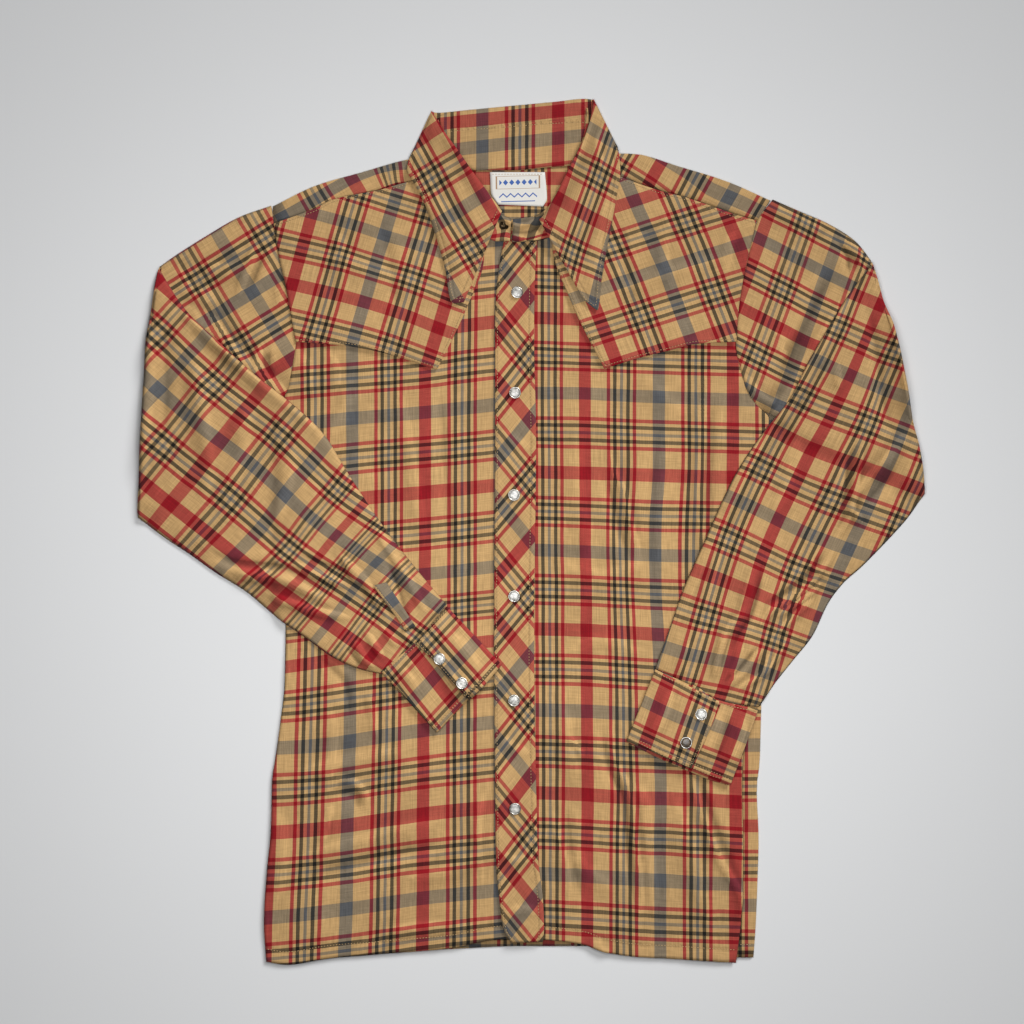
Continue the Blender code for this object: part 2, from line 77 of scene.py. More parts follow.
COLLAR_COLUMNS, SLEEVE_COLUMNS, CUFF_COLUMNS = 19, 68, 28
FALL_COLUMNS = 5  # of the band's columns at the back of the neck, those that belong to the collar's fall
HIDDEN_CELL = 12  # grid spacing of the back, which lies flat
LABEL_CELL = 3
TURN_ROWS = 5
WELD = 1e-6  # points this close, in metres, are one
SWELL, SWELL_SIZE = 1.2, 55.0  # the cloth's own unevenness, in millimetres
CRINKLE, CRINKLE_SIZE, CRINKLE_STRETCH = 0.5, 15.0, (1.0, 0.5)
SLEEVE_SWELL, COLLAR_SWELL, BAND_SWELL, FACING_SWELL = 1.6, 0.5, 0.4, 0.3
WRIST_SLOPE = 8.0  # over how many millimetres a forearm comes down to its cuff
SIDE_SLOPE, LEAST_RISE = 6.0, 0.2  # how fast a sleeve comes down at its sides, and what is left there
LOFT = 1.0  # how far creased pieces stand off what they lie on, so that troughs have somewhere to go
DRIFT = 0.9  # how far folds carry the sett along their slopes
DEPTH, NARROW, CREST = 1.5, 0.72, 1.5  # creases' depth and width, and how sharp a crest is: 2 is round
SETT_SLACK = 0.002  # how far the sett may miss its table where rows disagree
HEM, TOP_STITCH, EDGE_STITCH, SMALL_STITCH = 13.0, 5.0, 2.5, 2  # how far stitches lie inside an edge
FAR_FROM_HEM = 6.0
THREAD, THREAD_FLAT = 0.32, 0.8  # half the width of a sewing thread, and how flat it is pressed
STITCH_SHARE = 0.36  # half a stitch's length, as a share of the spacing
WALL_SPARE = 0.1
TUBE_SQUARE = 8  # how square a flattened sleeve's sides are
DROP_FROM = 60.0  # height from which a surface is felt for
STIFF_WALL = 0.001  # metres, of the pieces made of two layers
STIFF = ("placket", "neckband", "collar", "cuff_right", "cuff_left")

# Shares of one step of the sett.
BROAD, FINE, INNER_LINE, OUTER_LINE = 0.084, 0.0215, 0.089, 0.177
YARN_WANDER = 0.0006
THREADS, SLUBS = 950.0, 45.0  # how fast shade varies from thread to thread, and along one
THREAD_WAVE = 2 * np.pi / 0.0011

# How the plaid varies: scales of its noises, a metre holding this many, then shares of its brightness.
WANDER, MOTTLE, RUFFLE, PUCKER, FIBRES, FIBRE_LENGTHS = 55.0, 18.0, 105.0, 230.0, 1400, 300
# The second share is painted shade in the hollows beside creases and painted light on their crests; the next
# two are its darkest and lightest limits.
MOTTLE_SHADE, PAINTED_HOLLOW_SHADE, PAINTED_SHADE_MOST, PAINTED_LIGHT_MOST = 0.08, 0.11, -0.16, 0.02
SEAM_SHADE, SEAM_SHADE_WIDTH, EDGE_SHADE, EDGE_WIDTH = 0.05, 0.16, 0.025, 0.12
# Its relief, in millimetres.
WEAVE_RELIEF, FIBRE_RELIEF, MOTTLE_RELIEF, RUFFLE_RELIEF, HEM_RELIEF = 0.03, 0.10, 0.5, 0.7, 0.18
SEAM_DEPTH, SEAM_PUCKER, SEAM_WIDTH = 0.30, 0.9, 0.22

# Warp and weft colours are averaged as screen colours raised to this power, which lets the darker one tell.
MIX_POWER = 0.5
WEFT_SHARE, WEAVE_SHARE = 0.445, 0.16

SNAP_STEPS = 40
# Half sections of a snap's ring, its cap and the socket: shares of the radius, and heights.
RING = (
    (0.76, 0.9), (0.79, 1.7), (0.84, 2.0), (0.91, 2.05),
    (0.97, 1.75), (1.0, 1.2), (0.98, 0.5), (0.94, 0.0),
)
CAP = ((0.0, 2.0), (0.25, 1.97), (0.5, 1.86), (0.66, 1.7), (0.74, 1.4), (0.76, 0.9))
SOCKET = ((0.3, 0.2), (0.34, 0.7), (0.5, 0.75), (0.62, 0.5), (0.8, 0.9), (0.95, 0.8), (1.0, 0.0))
SMOKY_SNAP = ("cuff_left", 2)

# Pearl: its cloud's and swirl's scales, the cloud's edge and contrast, its two tints and its relief.
CLOUD, SWIRL, CLOUD_EDGE, CLOUD_CONTRAST = 330.0, 700.0, 0.36, 3.4
PEARL_TINTS, PEARL_RELIEF, PEARL_COAT, SMOKY_COAT = (0.42, 1.12), 0.10, 0.6, 0.1
# Metal, thread and paper: scales of their noises, then tints and reliefs.
TARNISH, TARNISH_TINT, TARNISH_RELIEF, TARNISH_ROUGH, METAL_ROUGH = 400.0, 0.55, 0.06, 0.25, 0.18
WEAR, TWIST, THREAD_TINTS, TWIST_RELIEF = 300.0, 2500.0, (0.7, 1.2), 0.1
PAPER_CLOUD, PAPER_FIBRE, PAPER_TINT, PAPER_RELIEF = 3.0, 900.0, 0.97, 0.04

# The label's figures, in metres from its middle, and its weave.
FRAME_HALF, FRAME_MIDDLE, FRAME_YARN = (0.0215, 0.0062), 0.006, (0.36, 0.22, 0.12, 1)
LOZENGE, ZIGZAG, ZIGZAG_SLOPE, ZIGZAG_AT, LINE_AT = 0.0062, 0.0075, 0.007, 0.0085, 0.0128
FRAME_LINE, LOZENGE_SIZE, LOZENGE_LEAN, ZIGZAG_LINE, LINE_HALF = 0.035, 0.46, 1.1, 0.75, 0.00045
ZIGZAG_END, LINE_END = 0.019, 0.017
LABEL_YARNS, LABEL_SHADE, LABEL_TINT, LABEL_RELIEF = (2200, 900), 0.22, 0.55, 0.12

FLOOR_HALF, FLOOR_DROP = 3.0, 0.0004
VIEW_CENTRE, VIEW_WIDTH, MIDDLE_HEIGHT = (-0.0195, 0.0195), 1.024, 0.004
SKY = (0.97, 0.98, 1.0)
KEY_FROM, KEY_SPREAD = (0.75, 1.10, 0.80), 0.36
TOP_PLACE, TOP_SIZE = (-0.02, -0.01, 0.86), 0.6

# Each row of the tables below is one section: ax, ay, bx, by, its ends on the piece's two rails.

ARMHOLE_RIGHT = (
    (271, 206), (278, 251), (286, 286), (292, 318), (296, 340), (294, 357), (289, 384), (284, 397),
)
ARMHOLE_LEFT = (
    (773, 199), (757, 222), (747, 262), (739, 305), (736, 341), (742, 376), (757, 405), (770, 414),
)

# Back, from the yoke seam to the hem; rail a is the wearer's right side. turn is how far the back comes
# round the left side onto the front.
# Columns: ax, ay, bx, by, turn
BACK = (
    (291, 302, 737, 302, 0), (298, 340, 734, 341, 0), (296, 358, 740, 378, 0),
    (291, 386, 755, 408, 0), (286, 402, 781, 418, 0), (285, 450, 772, 455, 5),
    (286, 540, 769, 540, 9), (286, 624, 765, 628, 13), (285, 684, 762, 690, 16),
    (281, 720, 761, 725, 18), (276, 756, 760, 762, 17), (272, 782, 757, 790, 15),
    (271, 828, 759, 840, 16), (267, 870, 758, 880, 15), (264, 924, 756, 930, 15),
    (267, 958, 754, 958, 18),
)
BACK_HEM = (
    (267, 958), (371, 954), (450, 950), (520, 947), (585, 947), (616, 954), (690, 958), (754, 958),
)
ARMPIT_Y = 425

# Back yoke, from the right armhole to the left; rail a is the shoulder fold and neck, rail b the seam
# with the back. lap is how far the yoke comes over the shoulder onto the front.
# Columns: ax, ay, bx, by, lap
BACK_YOKE = (
    (272, 206, 289, 300, 19), (315, 185, 318, 307, 24), (360, 172, 361, 315, 23),
    (408, 159, 408, 323, 24), (434, 156, 434, 326, 24), (450, 168, 450, 328, 0),
    (482, 167, 482, 330, 0), (515, 167, 515, 331, 0), (560, 163, 548, 330, 0),
    (588, 161, 582, 327, 0), (606, 153, 606, 325, 28), (632, 153, 632, 321, 30),
    (680, 166, 674, 314, 31), (728, 181, 712, 306, 31), (771, 200, 738, 300, 25),
)
YOKE_ARMHOLE_RIGHT = ((272, 206), (279, 251), (287, 286), (290, 300))
YOKE_ARMHOLE_LEFT = ((771, 200), (756, 222), (746, 262), (738, 300))
SHOULDER_SLANT = ((0.1, 1.0), (-0.55, 0.84))  # which way on the plan each shoulder's lap runs
NECK = (436, 604)  # the neck's two sides, where the shoulder folds end

# Fronts, from the shoulder to the hem. They meet under the placket.
FRONT_RIGHT = (
    (276, 229, 447, 181), (279, 253, 459, 206), (284, 276, 482, 230), (290, 306, 527, 243),
    (296, 340, 527, 310), (294, 357, 527, 352), (289, 384, 527, 384), (284, 402, 527, 402),
    (285, 450, 527, 450), (286, 540, 527, 540), (286, 624, 527, 624), (285, 684, 527, 684),
    (281, 720, 527, 716), (276, 756, 527, 752), (272, 782, 527, 780), (271, 828, 527, 826),
    (267, 870, 527, 866), (264, 924, 527, 908), (266, 962, 527, 938),
)
FRONT_RIGHT_HEM = ((266, 962), (287, 965), (326, 959), (371, 955), (445, 949), (502, 939), (527, 938))
FRONT_LEFT = (
    (600, 181, 754, 228), (589, 204, 748, 258), (566, 222, 743, 280), (529, 243, 739, 305),
    (529, 320, 736, 341), (529, 360, 742, 376), (529, 392, 757, 405), (529, 412, 769, 419),
    (529, 450, 766, 455), (529, 540, 759, 540), (529, 640, 750, 640), (529, 700, 745, 700),
    (529, 752, 743, 753), (529, 792, 742, 792), (529, 835, 743, 835), (529, 880, 743, 880),
    (529, 920, 741, 922), (529, 939, 736, 963),
)
FRONT_LEFT_HEM = (
    (529, 939), (559, 941), (581, 944), (605, 952), (637, 957), (672, 959), (704, 961), (736, 963),
)

# Front yokes, from the shoulder seam to the pointed lower edge; rail a is the armhole on the right yoke
# and the neck on the left one.
YOKE_RIGHT = (
    (274, 224, 447, 174), (278, 251, 474, 216), (286, 286, 484, 258), (291, 315, 466, 310),
    (296, 342, 437, 370),
)
YOKE_RIGHT_SHOULDER = ((274, 224), (315, 209), (333, 200), (381, 190), (402, 184), (447, 174))
YOKE_RIGHT_FOOT = ((296, 342), (345, 346), (383, 353), (437, 370))
YOKE_LEFT = (
    (598, 168, 756, 221), (566, 206, 747, 260), (552, 244, 742, 284), (571, 302, 738, 312),
    (604, 369, 736, 342),
)
YOKE_LEFT_SHOULDER = (
    (598, 168), (638, 184), (666, 193), (683, 197), (718, 209), (735, 215), (756, 221),
)
YOKE_LEFT_FOOT = ((604, 369), (643, 357), (668, 351), (698, 344), (736, 342))

# Placket, cut on the bias, from the neck to the hem.
PLACKET = (
    (504, 240, 537, 240), (498, 276, 535, 276), (495, 320, 534, 330), (495, 440, 536, 440),
    (494, 640, 534, 640), (495, 779, 536, 779), (496, 857, 538, 857), (500, 905, 543, 900),
    (504, 930, 544, 928), (512, 942, 543, 941),
)

# Collar leaf, from its right front edge round the back of the neck to its left front edge; rail a is the
# roll line. The back stretch lies under the neckband.
LEAF_RIGHT = (
    (502, 212, 464, 303), (498, 206, 453, 304), (487, 192, 445, 268), (474, 175, 436, 237),
    (460, 155, 425, 205), (448, 138, 414, 184), (438, 122, 407, 170), (431, 111, 410, 156),
)
LEAF_BACK = (
    (431, 111, 410, 156), (438, 112, 430, 170), (470, 109, 465, 172), (512, 105, 512, 170),
    (555, 101, 560, 167), (584, 98, 600, 160), (594, 99, 618, 147),
)
LEAF_LEFT = (
    (594, 99, 618, 147), (592, 112, 620, 172), (585, 137, 616, 198), (573, 162, 611, 226),
    (562, 184, 606, 252), (551, 205, 601, 282), (543, 217, 597, 311), (539, 221, 583, 300),
)

# Neckband, the same way round, from the roll line to the neck seam.
BAND_RIGHT = (
    (511, 219, 510, 242), (502, 215, 497, 242), (492, 206, 478, 229), (479, 186, 462, 207),
    (465, 166, 450, 187), (451, 146, 442, 172), (437, 120, 441, 162),
)
BAND_BACK = (
    (437, 120, 441, 162), (442, 114, 452, 169), (480, 109, 485, 170), (512, 106, 512, 170),
    (545, 103, 548, 167), (580, 102, 582, 164), (588, 108, 592, 157),
)
BAND_LEFT = (
    (588, 108, 592, 157), (583, 137, 598, 170), (572, 162, 590, 192), (556, 194, 574, 216),
    (545, 210, 556, 235), (530, 217, 534, 242), (513, 219, 512, 243),
)

# Sleeves: the upper arm from the armhole to the elbow fold, then the forearm from the fold to the cuff.
UPPER_RIGHT = (
    (271, 206, 284, 397), (240, 217, 250, 424), (205, 237, 213, 454), (178, 254, 174, 486),
    (158, 268, 137, 516),
)
ELBOW_RIGHT = ((158, 268), (154, 300), (147, 348), (143, 420), (139, 492), (137, 516))
FOREARM_RIGHT = (
    (158, 268, 137, 516), (186, 311, 163, 536), (223, 346, 190, 554), (256, 376, 217, 573),
    (289, 402, 246, 591), (322, 433, 276, 616), (351, 479, 305, 636), (381, 524, 333, 656),
    (414, 567, 360, 668), (446, 605, 382, 673),
)
UPPER_LEFT = (
    (773, 199, 770, 414), (800, 211, 804, 432), (830, 224, 845, 452), (856, 241, 890, 474),
    (873, 262, 926, 492),
)
ELBOW_LEFT = ((873, 262), (883, 300), (892, 324), (903, 372), (912, 420), (919, 446), (926, 492))
FOREARM_LEFT = (
    (873, 262, 926, 492), (846, 298, 909, 517), (826, 330, 894, 534), (807, 362, 877, 552),
    (789, 398, 862, 567), (763, 432, 845, 582), (737, 471, 829, 603), (707, 534, 813, 636),
    (682, 592, 794, 660), (666, 638, 775, 684), (655, 668, 759, 707),
)
WRIST_RIGHT = ((446, 605), (431, 624), (415, 643), (382, 673))
WRIST_LEFT = ((655, 668), (688, 684), (720, 700), (759, 707))

# Cuffs: rail a is the seam with the sleeve, rail b the opening. Sections go round the wrist from the
# end tucked under to the end that shows.
CUFF_RIGHT = {
    "tucked": (
        (436, 623, 489, 680), (415, 643, 468, 698), (381, 671, 437, 732),
    ),
    "under": (
        (381, 671, 437, 732), (447, 606, 502, 664),
    ),
    "over": (
        (447, 606, 502, 664), (419, 639, 473, 696), (416, 642, 469, 699),
    ),
}
CUFF_LEFT = {
    "tucked": (
        (692, 683, 662, 755), (720, 700, 690, 767), (758, 709, 730, 784),
    ),
    "under": (
        (758, 709, 730, 785), (740, 705, 711, 780), (720, 700, 689, 771), (688, 684, 657, 757),
        (655, 669, 626, 741),
    ),
    "over": (
        (655, 669, 626, 740), (720, 701, 690, 767),
    ),
}
SLIT_FACING = ((374, 585, 387, 582), (390, 607, 401, 603), (406, 631, 416, 626))

LABEL = ((490, 172, 545, 172), (491, 193, 547, 198), (498, 204, 543, 206))

# Snaps: where each cap's middle lies, top to bottom.
SNAPS = {
    "placket": (
        (517, 293), (515, 393), (514, 495), (514, 596), (514, 700), (515, 808),
    ),
    "cuff_right": (
        (440, 658), (462, 682),
    ),
    "cuff_left": (
        (700, 713), (685, 741),
    ),
}
SNAP_RADIUS = 6.0
SOCKET_AT, SOCKET_RADIUS = (504, 226), 5.0

# How the sett lies on each piece: x, y on the plan, then the warp and weft counts there. Whole even
# counts are the middles of red bands, odd ones of slate bands, and halves the middles of fine groups.
SETT = {
    "front_left": (
        (548.5, 355.5, -0.5, 0.5), (584.5, 357, 0, 0.5), (658.7, 359, 1, 0.5), (732.5, 361, 2, 0.5),
        (584.5, 393, 0, 1), (621, 434, 0.5, 1.5), (658.7, 475, 1, 2), (732.5, 477, 2, 2),
        (549, 472, -0.5, 2), (585, 512.5, 0, 2.5), (655.5, 516, 1, 2.5), (733, 517, 2, 2.5),
        (549, 550, -0.5, 3), (586, 590.3, 0, 3.5), (655.5, 594, 1, 3.5), (733, 556, 2, 3),
        (549.5, 629, -0.5, 4), (586.5, 670, 0, 4.5), (659.5, 675, 1, 4.5), (734, 637, 2, 4),
        (550, 710, -0.5, 5), (587, 752.5, 0, 5.5), (659.7, 756.5, 1, 5.5), (735, 719, 2, 5),
        (550, 793, -0.5, 6), (624.7, 797, 0.5, 6), (697.7, 799.5, 1.5, 6), (735.3, 801.6, 2, 6),
        (587, 835, 0, 6.5), (659.7, 839, 1, 6.5), (735.5, 843, 2, 6.5), (550, 874, -0.5, 7),
        (587, 875.5, 0, 7), (660, 880, 1, 7), (735, 884, 2, 7), (587, 919, 0, 7.5),
        (660, 924, 1, 7.5), (735, 927, 2, 7.5),
    ),
    "front_right": (
        (424.7, 372, 0, 0.5), (352, 378, -1, 0.5), (462, 366.5, 0.5, 0.5), (315, 381, -1.5, 0.5),
        (424.7, 412, 0, 1), (352, 418, -1, 1), (485, 405.5, 0.81, 1), (315, 422, -1.5, 1),
        (424.7, 492, 0, 2), (352, 499, -1, 2), (485, 486, 0.81, 2), (314, 504, -1.5, 2),
        (424.5, 574, 0, 3), (351, 582, -1, 3), (485, 567.5, 0.81, 3), (313, 588, -1.5, 3),
        (424, 648, 0, 4), (350, 657, -1, 4), (485, 641.5, 0.81, 4), (312, 663, -1.5, 4),
        (423, 730, 0, 5), (349.6, 741, -1, 5), (485, 723, 0.81, 5), (310, 746, -1.5, 5),
        (422.6, 814, 0, 6), (347, 825, -1, 6), (485, 807.5, 0.81, 6), (308, 830, -1.5, 6),
        (422.5, 898, 0, 7), (346, 909, -1, 7), (485, 891.5, 0.81, 7), (305, 914, -1.5, 7),
        (422, 940, 0, 7.5), (485, 933, 0.81, 7.5), (270, 832, -2, 6), (270, 748, -2, 5),
    ),
    "yoke_right": (
        (338.7, 256.4, 0.5, 1.5), (411.6, 278.8, 1.5, 1.5), (317.7, 329.3, 0.5, 2.5),
        (390.6, 349, 1.5, 2.5), (384.3, 235.4, 1, 1), (292.4, 284.5, 0, 2), (438.4, 328.2, 2, 2),
    ),
    "yoke_left": (
        (662.9, 268.6, 1, 1), (685.8, 222.7, 1.5, 0.5), (713.4, 293.1, 1.5, 1.5),
        (639.9, 316.1, 0.5, 1.5), (633.8, 201.3, 1, 0), (737.9, 245.7, 2, 1), (690.4, 340.6, 1, 2),
    ),
    "placket": (
        (528, 656.3, 1, 0), (528, 597.6, 0.5, -0.5), (528, 715, 1.5, 0.5), (529.8, 479.8, -0.5, -1.5),
        (531.4, 838, 2.5, 1.5), (528, 298, -2, -3), (498.6, 656.3, 0.7, 0.3),
        (498.6, 298, -2.3, -2.7), (502, 838, 2.2, 1.8),
    ),
    "neckband": (
        (482, 145.8, 1, 1), (558, 137.4, 2, 1), (445, 150, 0.5, 1), (596, 133, 2.5, 1),
        (519.6, 141.6, 1.5, 1), (519.6, 181.5, 1.5, 1.5),
    ),
    "collar_fall": (
        (482, 118.7, 1, 0), (558, 110.3, 2, 0), (519.6, 114.5, 1.5, 0), (519.6, 154.4, 1.5, 0.5),
        (445, 122.8, 0.5, 0),
    ),
    "leaf_right": (
        (432.7, 179.7, 0.5, 0.5), (471.8, 249.9, 0.5, 1.5), (451.8, 217, 0.5, 1),
        (464.1, 160.2, 0, 0.5), (503.2, 230.4, 0, 1.5),
    ),
    "leaf_left": (
        (598.6, 178.1, 0.5, -0.5), (571.5, 253.8, 0.5, 0.5), (585, 215.6, 0.5, 0),
        (557.9, 199.6, 0, 0), (593, 303.3, 1, 1),
    ),
    "back_yoke": (
        (498, 177.5, 1, 0), (535.6, 177.5, 1.5, 0), (535.6, 217.4, 1.5, 0.5), (460.4, 177.5, 0.5, 0),
        (498, 217.4, 1, 0.5),
    ),
    "lap_right": (
        (282, 217, 1, 1), (316, 198, 1, 1.5), (350.9, 178.2, 1, 2), (387, 166, 1, 2.5),
        (299.8, 249.2, 1.5, 1), (383.6, 188.2, 1.323, 2.323), (396, 183, 1.323, 2.6),
        (415, 165, 1, 2.85), (345, 214, 1.4, 1.7),
    ),
    "lap_left": (
        (663.6, 158, 0, 1), (695.5, 176.4, 0.5, 1), (729.5, 196.4, 1, 1), (706.8, 186.4, 0.677, 1),
        (751.8, 206.4, 1.323, 1), (651.8, 177.3, 0, 1.323), (630.9, 164.5, -0.33, 1.323),
        (672.3, 192.3, 0.323, 1.323), (649.1, 182.7, 0, 1.405), (724, 205.5, 1, 1.12),
    ),
    "band_ends": (
        (500, 215, 1, 0.43), (520, 219, 1, 0.52), (540, 222, 1, 0.6), (509, 232, 1.3, 0.46),
        (505, 238, 1.35, 0.45), (530, 232, 1.2, 0.58), (542.7, 234, 1.3, 0.66),
        (498.7, 234, 1.3, 0.36), (500, 204, 0.9, 0.42), (544, 208, 0.85, 0.62), (515, 243, 1.35, 0.5),
    ),
    "back": (
        (733.5, 786.6, 0.5, 1.5), (733.5, 745, 0.5, 1), (733.5, 826, 0.5, 2), (733.5, 426, 0.5, -3),
        (363.5, 786.6, -4.5, 1.5), (363.5, 426, -4.5, -3),
    ),
    "upper_right": (
        (252.7, 292, 1, 1), (199.7, 279.5, 0.5, 1.5), (239.5, 345.8, 1.5, 1.5), (266, 238, 0.5, 0.5),
        (186.3, 333.6, 1, 2),
    ),
    "forearm_right": (
        (159, 334, 0.5, 0.5), (214.6, 385.6, 0.5, 1.5), (278.7, 435.5, 0.5, 2.5),
        (338.4, 490.6, 0.5, 3.5), (164.4, 445.8, 1.5, 1.5), (230.7, 498.4, 1.5, 2.5),
        (290.2, 549.2, 1.5, 3.5), (285.8, 494, 1, 3), (159.9, 389.8, 1, 1), (170.5, 503.5, 2, 2),
        (366.8, 572.8, 1.2, 5),
    ),
    "upper_left": (
        (805, 222.9, 0.5, 0.5), (826.4, 272.9, 1, 1), (781.8, 288.9, 1.5, 0.5),
        (756.8, 355, 2.5, 0.5), (848, 323, 1.5, 1.5),
    ),
    "forearm_left": (
        (835.4, 328.2, -0.5, 0.5), (799.6, 397.9, -0.5, 1.5), (760.7, 467.9, -0.5, 2.5),
        (728.6, 539.3, -0.5, 3.5), (892.5, 353.2, 0.5, 0.5), (866, 424, 0.5, 1.5),
        (831, 499.5, 0.5, 2.5), (796.6, 571, 0.5, 3.5), (812, 449, 0, 2), (694, 655, -0.5, 5),
        (737.6, 663, 0.1, 5),
    ),
    "cuff_right_over": (
        (452.2, 665.9, 0.5, 1), (479.6, 636.8, 0, 1), (476.9, 693.4, 0.5, 1.5),
        (427.5, 638.4, 0.5, 0.5),
    ),
    "cuff_right": (
        (433.8, 677.3, 0, 1), (406.4, 706.4, 0.5, 1), (411, 648.2, 0, 0.5), (456.6, 706.4, 0, 1.5),
    ),
    "cuff_left_over": (
        (657.2, 707, 0, 1), (695.2, 723.5, 0.5, 1), (706.7, 693, 0.5, 0.5), (683.6, 758.2, 0.5, 1.5),
        (669.5, 673, 0, 0.5),
    ),
    "cuff_left": (
        (731.8, 730.6, 0, 1), (744.4, 695.8, 0, 0.5), (719.2, 765.4, 0, 1.5), (694.6, 715.8, 0.5, 1),
    ),
    "slit_facing": (
        (393.6, 598.3, 1, 1), (418.8, 629.5, 1, 1.5), (422.6, 575, 1.5, 1),
    ),
    "label": (
        (518, 188, 0, 0), (592, 186, 1, 0), (517, 108.2, 0, 1),
    ),
}

